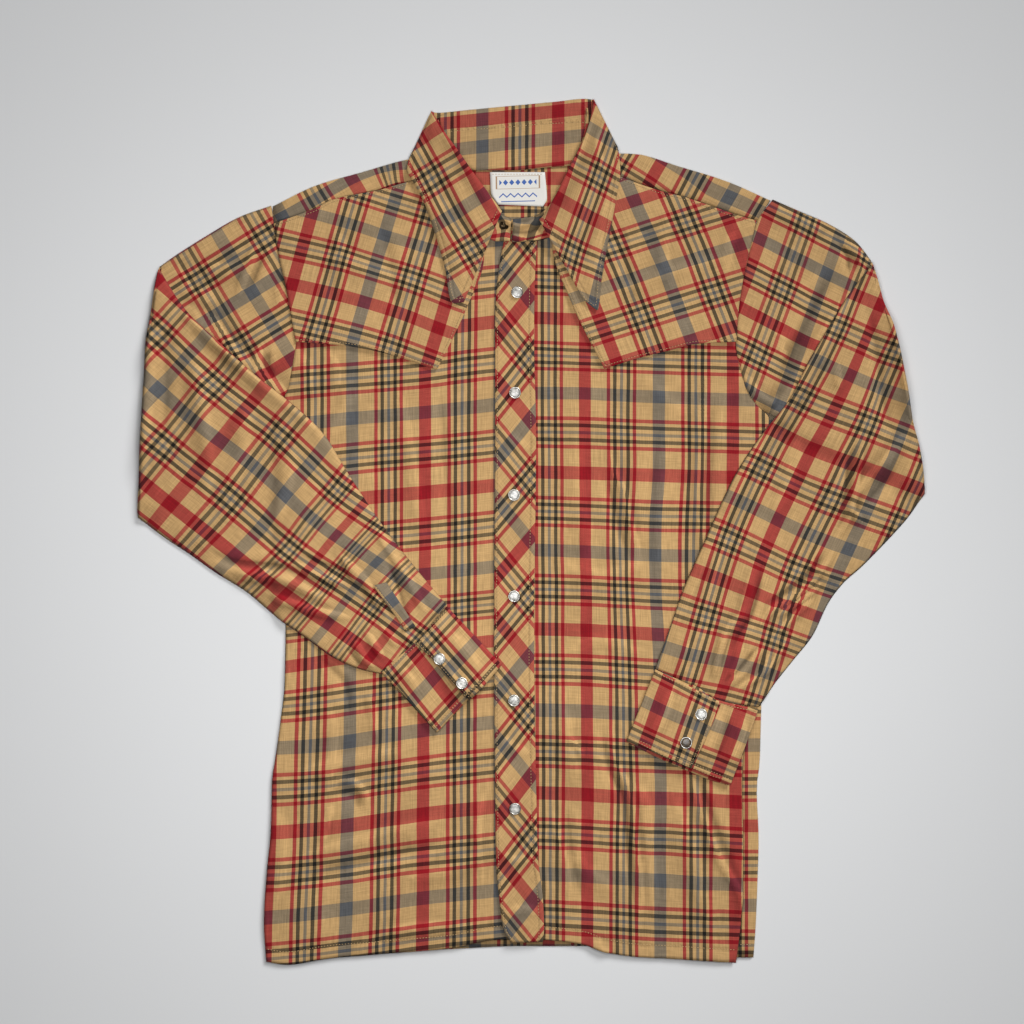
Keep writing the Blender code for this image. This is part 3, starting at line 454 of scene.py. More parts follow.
# Creases of each piece: height (a trough where it is negative) and half width, then x and y of each
# point of its line.
CREASES = {
    "front_left": (
        (1.9, 4, 610, 715, 613, 745, 617, 765, 631, 795, 634, 830, 641, 900, 637, 950),
        (-1.3, 5, 602, 715, 606, 750, 611, 772, 624, 800, 627, 835, 634, 905),
        (1.6, 11, 618, 770, 645, 800, 650, 850, 654, 920),
        (2.0, 4, 686, 762, 692, 780, 711, 838, 721, 862, 742, 900, 746, 940),
        (-1.3, 7, 698, 766, 704, 790, 722, 840, 733, 865, 744, 890),
        (2.0, 14, 672, 790, 688, 840, 704, 900, 716, 945),
        (1.1, 4, 555, 806, 558, 835, 565, 860, 571, 905), (-1.1, 8, 566, 800, 572, 850, 584, 905),
        (1.6, 3, 568, 736, 576, 745, 585, 757), (1.5, 11, 562, 700, 570, 750, 577, 790),
        (1.3, 12, 566, 850, 590, 872, 616, 892), (1.5, 8, 590, 940, 602, 950, 614, 958),
        (1.7, 4, 707, 365, 703, 400, 701, 450, 699, 500, 702, 545, 699, 600),
        (-1.0, 8, 715, 380, 712, 440, 710, 500, 712, 540),
        (1.9, 3.5, 610, 440, 614, 470, 624, 492, 629, 520, 635, 540, 640, 575),
        (-1.1, 6, 604, 470, 615, 505, 621, 530, 630, 560),
        (1.2, 13, 585, 400, 578, 470, 588, 560, 583, 630),
        (-1.0, 10, 660, 420, 655, 480, 652, 540, 655, 600), (1.2, 12, 556, 560, 600, 575, 650, 560),
        (1.0, 10, 560, 655, 600, 640, 645, 655), (1.1, 12, 640, 372, 668, 400, 690, 420),
    ),
    "front_right": (
        (1.5, 4, 370, 690, 374, 715, 376, 740), (-1.2, 6, 316, 652, 332, 668, 346, 684, 352, 720),
        (1.4, 9, 330, 700, 334, 745, 326, 800),
        (1.7, 4, 327, 796, 333, 786, 342, 779, 355, 783, 366, 797, 369, 812),
        (-1.3, 6, 338, 800, 346, 792, 356, 796, 360, 812), (1.5, 4, 333, 802, 326, 825, 322, 846),
        (1.8, 12, 285, 862, 340, 846, 400, 830, 455, 815),
        (-1.4, 9, 290, 882, 345, 866, 405, 850, 460, 838), (1.6, 12, 290, 775, 350, 760, 410, 748),
        (1.4, 10, 400, 880, 440, 872, 490, 850), (1.3, 4, 484, 790, 478, 830, 482, 880),
        (1.3, 10, 395, 372, 408, 440, 418, 500, 426, 556),
        (-1.1, 9, 440, 380, 446, 450, 450, 520, 456, 590), (1.4, 11, 352, 372, 346, 410, 330, 440),
        (1.2, 4, 330, 352, 338, 372, 336, 392), (1.5, 9, 300, 348, 308, 380, 304, 402),
        (1.5, 8, 372, 934, 400, 930, 440, 926, 480, 926), (1.4, 7, 355, 958, 368, 944, 386, 946),
        (1.4, 12, 275, 800, 283, 850, 276, 910),
    ),
    "yoke_right": (
        (1.1, 12, 300, 250, 350, 262, 400, 280, 450, 300), (1.0, 9, 330, 220, 345, 260, 340, 310),
        (-0.9, 9, 380, 215, 392, 260, 398, 320),
    ),
    "yoke_left": (
        (1.1, 12, 580, 300, 630, 285, 690, 265, 735, 255), (1.2, 8, 668, 205, 664, 250, 676, 300),
        (-0.9, 9, 622, 215, 628, 270, 640, 330), (1.2, 6, 735, 228, 728, 250, 726, 275),
    ),
    "placket": (
        (1.0, 6, 500, 300, 512, 330, 528, 345), (0.9, 6, 498, 430, 514, 440, 532, 450),
        (1.1, 6, 500, 735, 516, 748, 532, 752), (1.3, 6, 500, 850, 516, 860, 536, 856),
        (1.2, 5, 504, 915, 522, 908, 542, 912),
    ),
    "neckband": (
        (3.6, 3.5, 496, 213, 506, 221, 516, 226, 528, 225, 541, 215),
        (-1.8, 3, 503, 229, 514, 233, 528, 233, 541, 226),
        (2.4, 3, 506, 240, 517, 238, 528, 242, 540, 238),
    ),
    "collar": (
        (3.2, 8, 440, 122, 456, 148, 478, 180, 500, 212),
        (3.2, 8, 592, 106, 582, 140, 566, 176, 545, 212),
        (1.4, 9, 425, 172, 440, 215, 462, 262, 466, 292), (-0.9, 7, 436, 160, 455, 200, 478, 244),
        (1.4, 9, 612, 180, 604, 226, 594, 270, 592, 300), (1.8, 5, 606, 122, 598, 150, 604, 178),
    ),
    "sleeve_right": (
        (
            3.6, 10, 163, 278, 184, 304, 220, 338, 262, 378, 300, 409, 332, 441, 352, 474, 381, 516,
            412, 556, 436, 590,
        ),
        (2.6, 3.5, 258, 243, 249, 266, 243, 282, 238, 300), (-1.6, 5, 266, 250, 257, 272, 251, 290),
        (3.0, 4, 199, 306, 216, 324, 230, 346, 240, 358, 252, 372),
        (2.0, 3.5, 192, 318, 212, 334, 226, 352), (1.4, 3, 276, 286, 280, 296, 279, 306),
        (2.8, 4, 262, 342, 258, 362, 266, 378, 278, 390), (-1.8, 5, 270, 348, 267, 366, 276, 380),
        (1.6, 8, 200, 262, 226, 270, 252, 264), (1.5, 10, 175, 262, 190, 290, 222, 300),
        (2.2, 9, 150, 300, 152, 370, 148, 440, 143, 500), (-1.4, 9, 166, 310, 168, 380, 164, 450),
        (2.0, 12, 180, 330, 205, 400, 210, 460, 200, 520), (1.6, 10, 250, 400, 244, 450, 226, 500),
        (1.6, 10, 296, 440, 290, 480, 268, 540),
        (3.2, 5, 204, 556, 237, 573, 278, 577, 312, 592, 338, 606),
        (-2.0, 5, 204, 546, 240, 562, 282, 566, 316, 580),
        (2.8, 4, 288, 560, 312, 572, 334, 580, 356, 586),
        (-1.6, 4, 296, 551, 320, 562, 342, 570, 360, 578),
        (2.6, 4, 260, 590, 290, 602, 322, 612, 356, 618),
        (2.6, 3.5, 352, 638, 361, 650, 368, 662, 378, 670), (-1.6, 3.5, 346, 646, 355, 657, 364, 668),
        (2.4, 3.5, 366, 630, 375, 644, 385, 660), (2.0, 3.5, 380, 622, 390, 636, 399, 648),
        (3.4, 5, 334, 548, 348, 562, 362, 576, 376, 596, 392, 622),
        (-2.2, 5, 388, 562, 399, 588, 404, 604, 413, 624),
        (3.0, 7, 372, 520, 396, 556, 408, 578, 424, 606, 434, 616),
        (2.4, 4, 344, 556, 352, 572, 364, 584), (1.8, 4, 402, 632, 410, 638, 414, 646),
    ),
    "sleeve_left": (
        (3.6, 9, 866, 272, 842, 308, 816, 350, 788, 400, 764, 436, 742, 474, 714, 534, 690, 590, 672, 640),
        (2.8, 4, 838, 230, 850, 246, 862, 264, 856, 284), (2.4, 3, 848, 236, 860, 252, 871, 266),
        (-1.6, 4, 838, 240, 848, 258, 850, 276), (2.4, 9, 775, 205, 800, 216, 832, 228),
        (-2.0, 12, 836, 262, 818, 300, 796, 342, 776, 384), (1.5, 4, 783, 338, 778, 350, 790, 356),
        (2.6, 5, 744, 372, 756, 392, 772, 402, 780, 394), (1.8, 3, 837, 364, 836, 376, 840, 390),
        (2.4, 10, 884, 290, 896, 340, 906, 390, 914, 440),
        (-1.6, 9, 868, 300, 876, 350, 884, 400, 894, 440),
        (3.2, 4, 868, 438, 858, 456, 856, 480, 850, 512, 836, 540),
        (-2.0, 5, 860, 440, 849, 460, 846, 490, 838, 520),
        (2.6, 5, 908, 428, 886, 458, 862, 486, 852, 500), (-1.6, 7, 896, 466, 880, 486, 862, 506),
        (2.4, 4, 844, 504, 852, 512, 864, 522),
        (3.6, 3.5, 836, 545, 824, 566, 810, 583, 788, 600, 768, 613, 757, 636),
        (-2.2, 4, 826, 548, 814, 566, 798, 582, 778, 596, 760, 606),
        (2.6, 3, 826, 577, 812, 591, 792, 606, 770, 618),
        (2.4, 3, 818, 594, 800, 610, 782, 628, 770, 640), (1.8, 4, 808, 560, 820, 572, 834, 578),
        (2.6, 5, 753, 560, 748, 590, 740, 616, 728, 628, 719, 648, 713, 676),
        (-2.0, 5, 762, 560, 757, 592, 750, 616, 738, 634, 728, 656),
        (2.6, 3, 726, 630, 718, 656, 713, 680), (2.4, 3, 764, 644, 746, 668, 723, 690),
        (2.2, 3, 772, 648, 762, 672, 734, 690), (2.2, 3, 788, 636, 773, 662, 757, 682),
        (-1.6, 3, 758, 644, 742, 664, 720, 684), (1.8, 4, 742, 640, 736, 664, 726, 684),
        (1.6, 10, 730, 520, 716, 560, 702, 610), (1.5, 10, 800, 430, 790, 480, 772, 520),
        (1.6, 5, 690, 640, 684, 660, 680, 676),
    ),
    "cuff_right": (
        (1.4, 5, 396, 664, 410, 676, 420, 692), (1.6, 4, 448, 668, 456, 680, 470, 692),
        (1.2, 6, 452, 632, 468, 650, 480, 670), (1.8, 4, 470, 694, 478, 686, 488, 682),
        (-0.9, 5, 462, 700, 472, 694, 482, 690),
    ),
    "cuff_left": (
        (1.4, 6, 672, 684, 664, 710, 650, 738), (1.6, 6, 742, 712, 740, 736, 728, 768),
        (1.6, 6, 720, 706, 712, 732, 700, 760), (-0.9, 5, 730, 708, 724, 736, 714, 764),
    ),
}
CREASE_TAPER = 0.3  # share of a crease's length over which each end fades
END_WIDTH = 0.6  # a crease's width at its ends, as a share
# The hollows beside creases, which get painted shade, are measured over this reach.
HOLLOW_REACH = 5  # in cells
FOLD_STEPS = 8


def colour(name, description, default, subtype="COLOR"):
    return FloatVectorProperty(
        name=name, description=description, default=default, subtype=subtype, min=0, max=1
    )


def length(name, description, default, least, most):
    return FloatProperty(
        name=name, description=description, default=default, min=least, max=most,
        subtype="DISTANCE", unit="LENGTH",
    )


class ShirtCloth(bpy.types.PropertyGroup):
    """The yarns of the plaid and the cloth's build. Yarn colours are as seen on a screen."""

    tan: colour("Tan yarn", "Ground of the plaid", (0.703, 0.565, 0.38), "COLOR_GAMMA")
    red: colour("Red yarn", "One broad band and the outer fine lines", (0.505, 0.08, 0.115), "COLOR_GAMMA")
    slate: colour("Slate yarn", "The other broad band, the middle line", (0.315, 0.318, 0.325), "COLOR_GAMMA")
    dark: colour("Dark yarn", "The inner fine lines", (0.115, 0.11, 0.095), "COLOR_GAMMA")
    wall: length("Wall", "Thickness of one wall of cloth", 0.0008, 0.0003, 0.002)
    cell: length("Cell", "Grid spacing of the cloth that shows", 0.003, 0.002, 0.02)
    nap: FloatProperty(
        name="Slub", description="How far single threads differ in colour", default=0.24, min=0, max=1,
        subtype="FACTOR",
    )


class ShirtTrim(bpy.types.PropertyGroup):
    """Thread, snaps and label."""

    thread: colour("Thread", "Sewing thread", (0.50, 0.33, 0.15))
    stitch: length("Stitch", "Length of one stitch with its gap", 0.0030, 0.001, 0.01)
    pearl: colour("Pearl", "Face of the snaps", (0.60, 0.59, 0.55))
    smoke: colour("Smoke", "The one worn, darker snap face", (0.10, 0.07, 0.045))
    ring: colour("Ring", "Metal of the snaps", (0.62, 0.60, 0.56))
    socket: colour("Socket", "Old brass of the socket at the neck", (0.13, 0.09, 0.05))
    linen: colour("Label", "Ground of the woven label", (0.72, 0.70, 0.65))
    blue: colour("Label yarn", "Woven figures of the label", (0.03, 0.10, 0.35))


class ShirtStage(bpy.types.PropertyGroup):
    """Floor, lights and camera."""

    floor: colour("Floor", "Pale paper under the shirt", (0.66, 0.665, 0.67))
    key: FloatProperty(name="Key", description="Strength of the slanting light", default=2.7, min=0, max=50)
    top: FloatProperty(
        name="Top", description="Power of the light overhead", default=6.3, min=0, max=500, unit="POWER"
    )
    fill: FloatProperty(name="Fill", description="Light from all round", default=0.06, min=0, max=5)
    height: length("Camera height", "Above the floor", 1.4, 0.5, 5)


def smooth(rows, count):
    """The table's rows, read at count even steps along a smooth line that never overshoots them."""
    rows = np.array(rows, float)
    at = np.r_[0, np.cumsum(np.linalg.norm(np.diff(rows[:, :4], axis=0), axis=1))]
    lines = np.diff(rows, axis=0) / np.diff(at)[:, None]
    before, after = lines[:-1], lines[1:]
    level = 2 * before * after / np.where(before * after > 0, before + after, 1)
    slope = np.vstack([lines[:1], np.where(before * after > 0, level, 0), lines[-1:]])
    steps = np.linspace(0, at[-1], count)
    k = np.clip(np.searchsorted(at, steps, side="right") - 1, 0, len(at) - 2)
    span = (at[k + 1] - at[k])[:, None]
    s = (steps - at[k])[:, None] / span
    ends = rows[k] * (1 + 2 * s) * (1 - s) ** 2 + rows[k + 1] * s**2 * (3 - 2 * s)
    return ends + span * (slope[k] * s * (1 - s) ** 2 + slope[k + 1] * s**2 * (s - 1))


def patch(sections, cell, first=None, last=None, columns=None):
    """A sheet on the plan, as rows of points; first and last are the end sections where they curve."""
    rails = np.array(sections, float)[:, :4]
    length = np.linalg.norm(np.diff(rails, axis=0), axis=1).sum() / 2**0.5
    width = np.linalg.norm(rails[:, 2:] - rails[:, :2], axis=1).max()
    rows, columns = max(3, round(length / cell) + 1), columns or max(3, round(width / cell) + 1)
    rails = smooth(sections, rows)[:, None]
    u = np.linspace(0, 1, columns)[:, None]
    plan = rails[..., :2] * (1 - u) + rails[..., 2:4] * u
    v = np.linspace(0, 1, rows)[:, None, None]
    if first:
        plan += (1 - v) * (smooth(first, columns) - plan[0])
    if last:
        plan += v * (smooth(last, columns) - plan[-1])
    return plan


def along_line(plan, line):
    """How far each point of the plan lies from a line of points, and at what share of its length."""
    line = np.array(line, float)
    at = np.r_[0, np.cumsum(np.linalg.norm(np.diff(line, axis=0), axis=1))]
    best, share = np.full(plan.shape[:2], 1e9), np.zeros(plan.shape[:2])
    for k, (start, end) in enumerate(zip(line, line[1:])):
        along = end - start
        s = np.clip((plan - start) @ along / max(along @ along, 1e-9), 0, 1)
        far = np.linalg.norm(plan - start - s[..., None] * along, axis=-1)
        nearer = far < best
        best[nearer] = far[nearer]
        share[nearer] = ((at[k] + s * (at[k + 1] - at[k])) / at[-1])[nearer]
    return best, share


def relief(plan, creases):
    """How far the creases lift each point: a ridge where a height is positive, a trough elsewhere."""
    lift = np.zeros(plan.shape[:2])
    for height, width, *points in creases:
        line = np.reshape(points, (-1, 2))
        away, share = along_line(plan, smooth(line, 4 * len(line)) if len(line) > 2 else line)
        taper = np.clip(np.minimum(share, 1 - share) / CREASE_TAPER, 0, 1)
        taper = taper * taper * (3 - 2 * taper)
        reach = NARROW * width * (END_WIDTH + 0.4 * taper)
        lift += DEPTH * height * taper * np.exp(-((away / reach) ** CREST))
    return lift


def hollows(heights):
    """How far each point of a grid lies above its surroundings, negative in the hollows beside a crease. The
    plaid paints shade into these hollows and light onto the crests.
    """
    field = np.pad(heights, HOLLOW_REACH, mode="edge")
    for _ in range(HOLLOW_REACH):
        for axis in (0, 1):
            field = (np.roll(field, 1, axis) + field + np.roll(field, -1, axis)) / 3
    inside = slice(HOLLOW_REACH, -HOLLOW_REACH)
    return heights - field[inside, inside]


def unevenness(plan, size, seed):
    """Soft uneven swells of the cloth, from -1 to 1."""
    return np.array(
        [[noise.noise(Vector((x / size, y / size, seed))) for x, y in row] for row in plan]
    )


class Pile:
    """The top of the cloth laid down so far, on a square raster over the plan."""

    def __init__(self, top=None):
        side = PLAN_SIZE // RASTER
        self.top = np.full((side, side), -GAP) if top is None else top.copy()
        self.waiting = []

    def ground(self):
        """The pile's top with each of its edges made a smooth slope, nowhere lower than it was."""
        field = self.top
        for _ in range(EDGE_CELLS):
            field = functools.reduce(
                np.maximum, [np.roll(field, shift, axis) for shift in (-1, 0, 1) for axis in (0, 1)]
            )
        for _ in range(EDGE_CELLS):
            for axis in (0, 1):
                field = (np.roll(field, 1, axis) + field + np.roll(field, -1, axis)) / 3
        return np.maximum(field, self.top)

    def lay(self, plan, thickness=CLOTH, rise=0):
        """Lays a sheet on what is there, and returns its middle surface. Its own course can't feel it."""
        field = self.ground()
        at = plan / RASTER
        low = np.clip(at.astype(int), 0, field.shape[0] - 2)
        x, y = low[..., 0], low[..., 1]
        s, t = at[..., 0] - x, at[..., 1] - y
        near = field[y, x] * (1 - s) + field[y, x + 1] * s
        far = field[y + 1, x] * (1 - s) + field[y + 1, x + 1] * s
        foot = near * (1 - t) + far * t + GAP
        middle = foot + np.maximum(rise, 0) + thickness / 2
        self.waiting.append(np.dstack([plan, middle + thickness / 2]))
        return np.dstack([plan, middle])

    def next_course(self):
        """Adds the sheets laid since the last course, so that the next ones lie on them."""
        for sheet in self.waiting:
            for _ in range(2):
                for axis in (0, 1):
                    sheet = np.moveaxis(sheet, axis, 0)
                    finer = np.empty((2 * len(sheet) - 1, *sheet.shape[1:]))
                    finer[::2] = sheet
                    finer[1::2] = (sheet[:-1] + sheet[1:]) / 2
                    sheet = np.moveaxis(finer, 0, axis)
            x, y = ((sheet[..., k] / RASTER).round().astype(int) for k in (0, 1))
            np.maximum.at(self.top, (y, x), sheet[..., 2])
        self.waiting = []


def fold(lower, upper, thickness=CLOTH):
    """Rows of points round the fold from the last row of one sheet to the first row of the next.

    Both rows are drawn in first, so that the outside of the fold lies on the line they shared."""
    edge, inner = lower[-1, :, :2], lower[-2, :, :2]
    along = np.gradient(edge, axis=0)
    out = np.dstack([-along[:, 1], along[:, 0]])[0] / np.linalg.norm(along, axis=1)[:, None]
    out *= np.sign(((edge - inner) * out).sum(axis=1).mean())
    radius = (upper[0, :, 2] - lower[-1, :, 2]) / 2
    for row in lower[-1], upper[0]:
        row[:, :2] -= out * (abs(radius) + thickness / 2)[:, None]
    middle = (lower[-1] + upper[0]) / 2
    rows = []
    for angle in np.linspace(0, np.pi, FOLD_STEPS + 1):
        row = middle.copy()
        row[:, :2] += out * (abs(radius) * np.sin(angle))[:, None]
        row[:, 2] -= radius * np.cos(angle)
        rows.append(row)
    rows[0], rows[-1] = lower[-1], upper[0]
    return np.array(rows)


def tube(middle, half):
    """A flattened tube round a middle surface: across the top and back underneath, meeting itself."""
    along, across = np.gradient(middle, axis=0), np.gradient(middle, axis=1)
    normal = np.cross(across, along)
    normal /= np.linalg.norm(normal, axis=-1, keepdims=True)
    t = np.linspace(-1, 1, middle.shape[1])
    out = normal * (half * (1 - abs(t) ** TUBE_SQUARE) ** 0.5)[:, None]
    return np.concatenate([middle + out, (middle - out)[:, -2::-1]], axis=1)


def sett_at(name, plan):
    """Where points of the plan lie in the cut cloth, in metres: a thin plate through the piece's table."""
    rows = np.array(SETT[name])
    centre = rows[:, :2].mean(axis=0)

    def terms(points):
        away = np.linalg.norm(points[:, None] - nodes[None], axis=-1)
        return away**2 * np.log(np.maximum(away, 1e-6)), np.c_[np.ones(len(points)), points]

    nodes = (rows[:, :2] - centre) / 100
    bend, flat = terms(nodes)
    system = np.block([[bend + SETT_SLACK * np.eye(len(rows)), flat], [flat.T, np.zeros((3, 3))]])
    weights = np.linalg.lstsq(system, np.vstack([rows[:, 2:], np.zeros((3, 2))]), rcond=None)[0]
    bend, flat = terms((plan.reshape(-1, 2) - centre) / 100)
    counts = bend @ weights[:-3] + flat @ weights[-3:]
    return (counts * (WARP_STEP, WEFT_STEP)).reshape(plan.shape)


def hem_of(plan, sewn):
    """How far each point lies from the nearest sewn edge, as a share of that edge's stitching distance."""
    edges = {"start": plan[0], "end": plan[-1], "low": plan[:, 0], "high": plan[:, -1]}
    shares = [along_line(plan, edges[side])[0] / distance for side, distance in sewn.items()]
    return np.minimum.reduce([np.full(plan.shape[:2], FAR_FROM_HEM), *shares])


class Sheet:
    """A grid of points with its place in the cut cloth and its hems."""

    def __init__(self, points, sett, sewn=None, hem=None, drift=0, fold=None):
        self.points = points
        # fold: how far each point lies in a hollow beside a crease, which the plaid turns into painted shade
        # and painted light.
        self.fold = np.zeros(points.shape[:2]) if fold is None else fold
        self.sett = sett
        self.places = points[..., :2] - drift
        self.sewn = sewn or {}
        self.hem = hem_of(points[..., :2], self.sewn) if hem is None else hem


class Shirt:
    """Lays the pieces down course by course, and keeps the sheets that each one is made of."""

    def __init__(self, cell):
        self.cell = cell
        self.pile = Pile()
        self.sheets = {}
        self.lay_back()
        self.lay_fronts()
        self.lay_collar()
        self.lay_sleeves()
        self.lay_cuffs()

    def keep(self, name, points, sett=None, **more):
        self.sheets.setdefault(name, []).append(Sheet(points, sett or name, **more))
        return points

    def rise(self, plan, name, swell=SWELL):
        """How far the piece stands off what it lies on: its creases and its own unevenness."""
        if not swell:
            return np.zeros(plan.shape[:2])
        seed = len(name)
        swells = swell * (0.5 + unevenness(plan, SWELL_SIZE, seed))
        crinkles = CRINKLE * (swell / SWELL) ** 2 * unevenness(plan * CRINKLE_STRETCH, CRINKLE_SIZE, seed)
        creases = CREASES.get(name, ())
        return relief(plan, creases) + swells + crinkles + (LOFT if creases else 0)

    def creased(self, plan, name, swell=SWELL):
        """How far each point lies in a hollow of its creases, which the plaid paints as shade, and how far
        they carry the sett there.
        """
        creases = CREASES.get(name, ()) if swell else ()
        here = relief(plan, creases)
        slopes = [relief(plan + np.array(step), creases) - here for step in ((1, 0), (0, 1))]
        return {"fold": hollows(here), "drift": DRIFT * np.dstack(slopes)}

    def lay(self, name, plan, pile=None, sett=None, sewn=None, thickness=CLOTH, swell=SWELL):
        points = (pile or self.pile).lay(plan, thickness, self.rise(plan, name, swell))
        return self.keep(name, points, sett, sewn=sewn, **self.creased(plan, name, swell))

    def lay_back(self):
        self.leaf_back = self.lay(
            "collar", patch(LEAF_BACK, self.cell, columns=COLLAR_COLUMNS), sett="collar_fall", swell=0
        )
        self.pile.next_course()
        seam = [(bx, by) for _, _, bx, by, _ in BACK_YOKE]
        self.back = self.lay("back", patch(BACK, HIDDEN_CELL, seam, BACK_HEM), sewn={"end": HEM}, swell=0)
        yoke = patch(BACK_YOKE, HIDDEN_CELL, YOKE_ARMHOLE_RIGHT, YOKE_ARMHOLE_LEFT)
        self.yoke = self.lay("back_yoke", yoke, swell=0)
        self.pile.next_course()

    def turn_over(self, name, edge, reach, towards, sett=None):
        """Carries a sheet's last row over itself by this reach, in this direction on the plan."""
        near = edge[-1, :, :2]
        far = near + reach[:, None] * np.array(towards)
        strip = self.pile.lay(np.linspace(near, far, TURN_ROWS))
        self.keep(name, fold(edge, strip), sett)
        self.keep(name, strip, sett)

    def lay_turned_edges(self):
        """The back's left edge and the yoke's shoulders, which come round onto the fronts."""
        armpit = np.argmax(self.back[:, -1, 1] > ARMPIT_Y)
        turn = smooth(BACK, len(self.back))[armpit:, 4]
        self.turn_over("back", self.back[armpit:].transpose(1, 0, 2), turn, (-1, 0))
        lap = smooth(BACK_YOKE, len(self.yoke))[:, 4]
        right, left = (self.yoke[:, 0, 0] < NECK[0]).sum(), np.argmax(self.yoke[:, 0, 0] > NECK[1])
        shoulders = (slice(0, right), "lap_right"), (slice(left, None), "lap_left")
        for (shoulder, sett), slant in zip(shoulders, SHOULDER_SLANT):
            edge = self.yoke[shoulder, ::-1].transpose(1, 0, 2)
            self.turn_over("back_yoke", edge, lap[shoulder], slant, sett)

    def lay_fronts(self):
        """The fronts, what lies beside them, then the front yokes and the placket."""
        self.lay_turned_edges()
        self.lay("front_right", patch(FRONT_RIGHT, self.cell, last=FRONT_RIGHT_HEM), sewn={"end": HEM})
        self.lay("front_left", patch(FRONT_LEFT, self.cell, last=FRONT_LEFT_HEM), sewn={"end": HEM})
        self.band_back = self.pile.lay(patch(BAND_BACK, self.cell, columns=COLLAR_COLUMNS))
        self.keep("neckband", self.band_back[:, : FALL_COLUMNS + 1], "collar_fall")
        self.keep("neckband", self.band_back[:, FALL_COLUMNS:], sewn={"low": EDGE_STITCH})
        label, sewn = patch(LABEL, LABEL_CELL), {"start": SMALL_STITCH}
        self.lay("label", label, thickness=LABEL_THICKNESS, sewn=sewn, swell=BAND_SWELL)
        self.pile.next_course()
        yoke_edges = {"start": EDGE_STITCH, "end": EDGE_STITCH}
        right = patch(YOKE_RIGHT, self.cell, YOKE_RIGHT_SHOULDER, YOKE_RIGHT_FOOT)
        self.lay("yoke_right", right, sewn={**yoke_edges, "high": EDGE_STITCH})
        left = patch(YOKE_LEFT, self.cell, YOKE_LEFT_SHOULDER, YOKE_LEFT_FOOT)
        self.lay("yoke_left", left, sewn={**yoke_edges, "low": EDGE_STITCH})
        placket = patch(PLACKET, self.cell)
        self.lay("placket", placket, sewn={"low": EDGE_STITCH, "high": TOP_STITCH}, swell=BAND_SWELL)
        self.pile.next_course()

    def lay_collar(self):
        """The neckband's front stretches, then the leaf's, each folded over from the back of the neck."""
        band = ("band_ends", BAND_RIGHT, {}), ("band_ends", BAND_LEFT, {})
        leaf = (
            ("leaf_right", LEAF_RIGHT, {"high": TOP_STITCH, "start": TOP_STITCH}),
            ("leaf_left", LEAF_LEFT, {"high": TOP_STITCH, "end": TOP_STITCH}),
        )
        for name, back, sides in ("neckband", self.band_back, band), ("collar", self.leaf_back, leaf):
            plans = [patch(rows, self.cell, columns=COLLAR_COLUMNS) for _, rows, _ in sides]
            right, left = (
                self.lay(name, plan, sett=sett, sewn=sewn, swell=COLLAR_SWELL)
                for plan, (sett, _, sewn) in zip(plans, sides)
            )
            self.keep(name, fold(back[::-1], right[::-1]), sides[0][0])
            self.keep(name, fold(back, left), sides[1][0])
            self.pile.next_course()

    def lay_sleeves(self):
        """The upper arms on the floor beside the body, then the forearms folded back over it all."""
        arms = Pile()
        uppers = {}
        sides = np.clip(SIDE_SLOPE * (1 - abs(np.linspace(-1, 1, SLEEVE_COLUMNS))), LEAST_RISE, 1)
        for side, rows, armhole, elbow in (
            ("right", UPPER_RIGHT, ARMHOLE_RIGHT, ELBOW_RIGHT),
            ("left", UPPER_LEFT, ARMHOLE_LEFT, ELBOW_LEFT),
        ):
            plan = patch(rows, self.cell, armhole, elbow, SLEEVE_COLUMNS)
            name = f"sleeve_{side}"
            rise = self.rise(plan, name, SLEEVE_SWELL) * sides
            uppers[side] = arms.lay(plan, SLEEVE, rise), self.creased(plan, name)
        arms.next_course()
        self.pile.top = np.maximum(self.pile.top, arms.top)
        self.wrists = Pile(self.pile.top)
        for side, rows, elbow, wrist in (
            ("right", FOREARM_RIGHT, ELBOW_RIGHT, WRIST_RIGHT),
            ("left", FOREARM_LEFT, ELBOW_LEFT, WRIST_LEFT),
        ):
            plan = patch(rows, self.cell, elbow, wrist, SLEEVE_COLUMNS)
            name = f"sleeve_{side}"
            (upper, upper_drift), forearm_drift = uppers[side], self.creased(plan, name)
            rise = self.rise(plan, name, SLEEVE_SWELL)
            left = np.arange(len(rise) - 1, -1, -1)[:, None] * self.cell / WRIST_SLOPE
            forearm = self.pile.lay(plan, SLEEVE, rise * sides * np.clip(left, LEAST_RISE, 1))
            turned = fold(upper, forearm, SLEEVE)
            middle = np.concatenate([upper, turned[1:-1], forearm])
            along = {}
            for key, ahead in upper_drift.items():
                bent = np.zeros((len(turned) - 2, *ahead.shape[1:]))
                along[key] = np.concatenate([ahead, bent, forearm_drift[key]])
                along[key] = np.concatenate([along[key], along[key][:, -2::-1]], axis=1)
            around = tube(middle, SLEEVE / 2 - WALL_SPARE)
            bend = len(upper) - 1, len(upper) + len(turned) - 2
            for start, end, sett in (
                (0, bend[0], f"upper_{side}"),
                (bend[0], bend[1], f"forearm_{side}"),
                (bend[1], len(middle) - 1, f"forearm_{side}"),
            ):
                points = around[start : end + 1]
                hem = np.full(points.shape[:2], FAR_FROM_HEM)
                here = {key: values[start : end + 1] for key, values in along.items()}
                self.keep(name, points, sett, hem=hem, **here)
        self.pile.next_course()

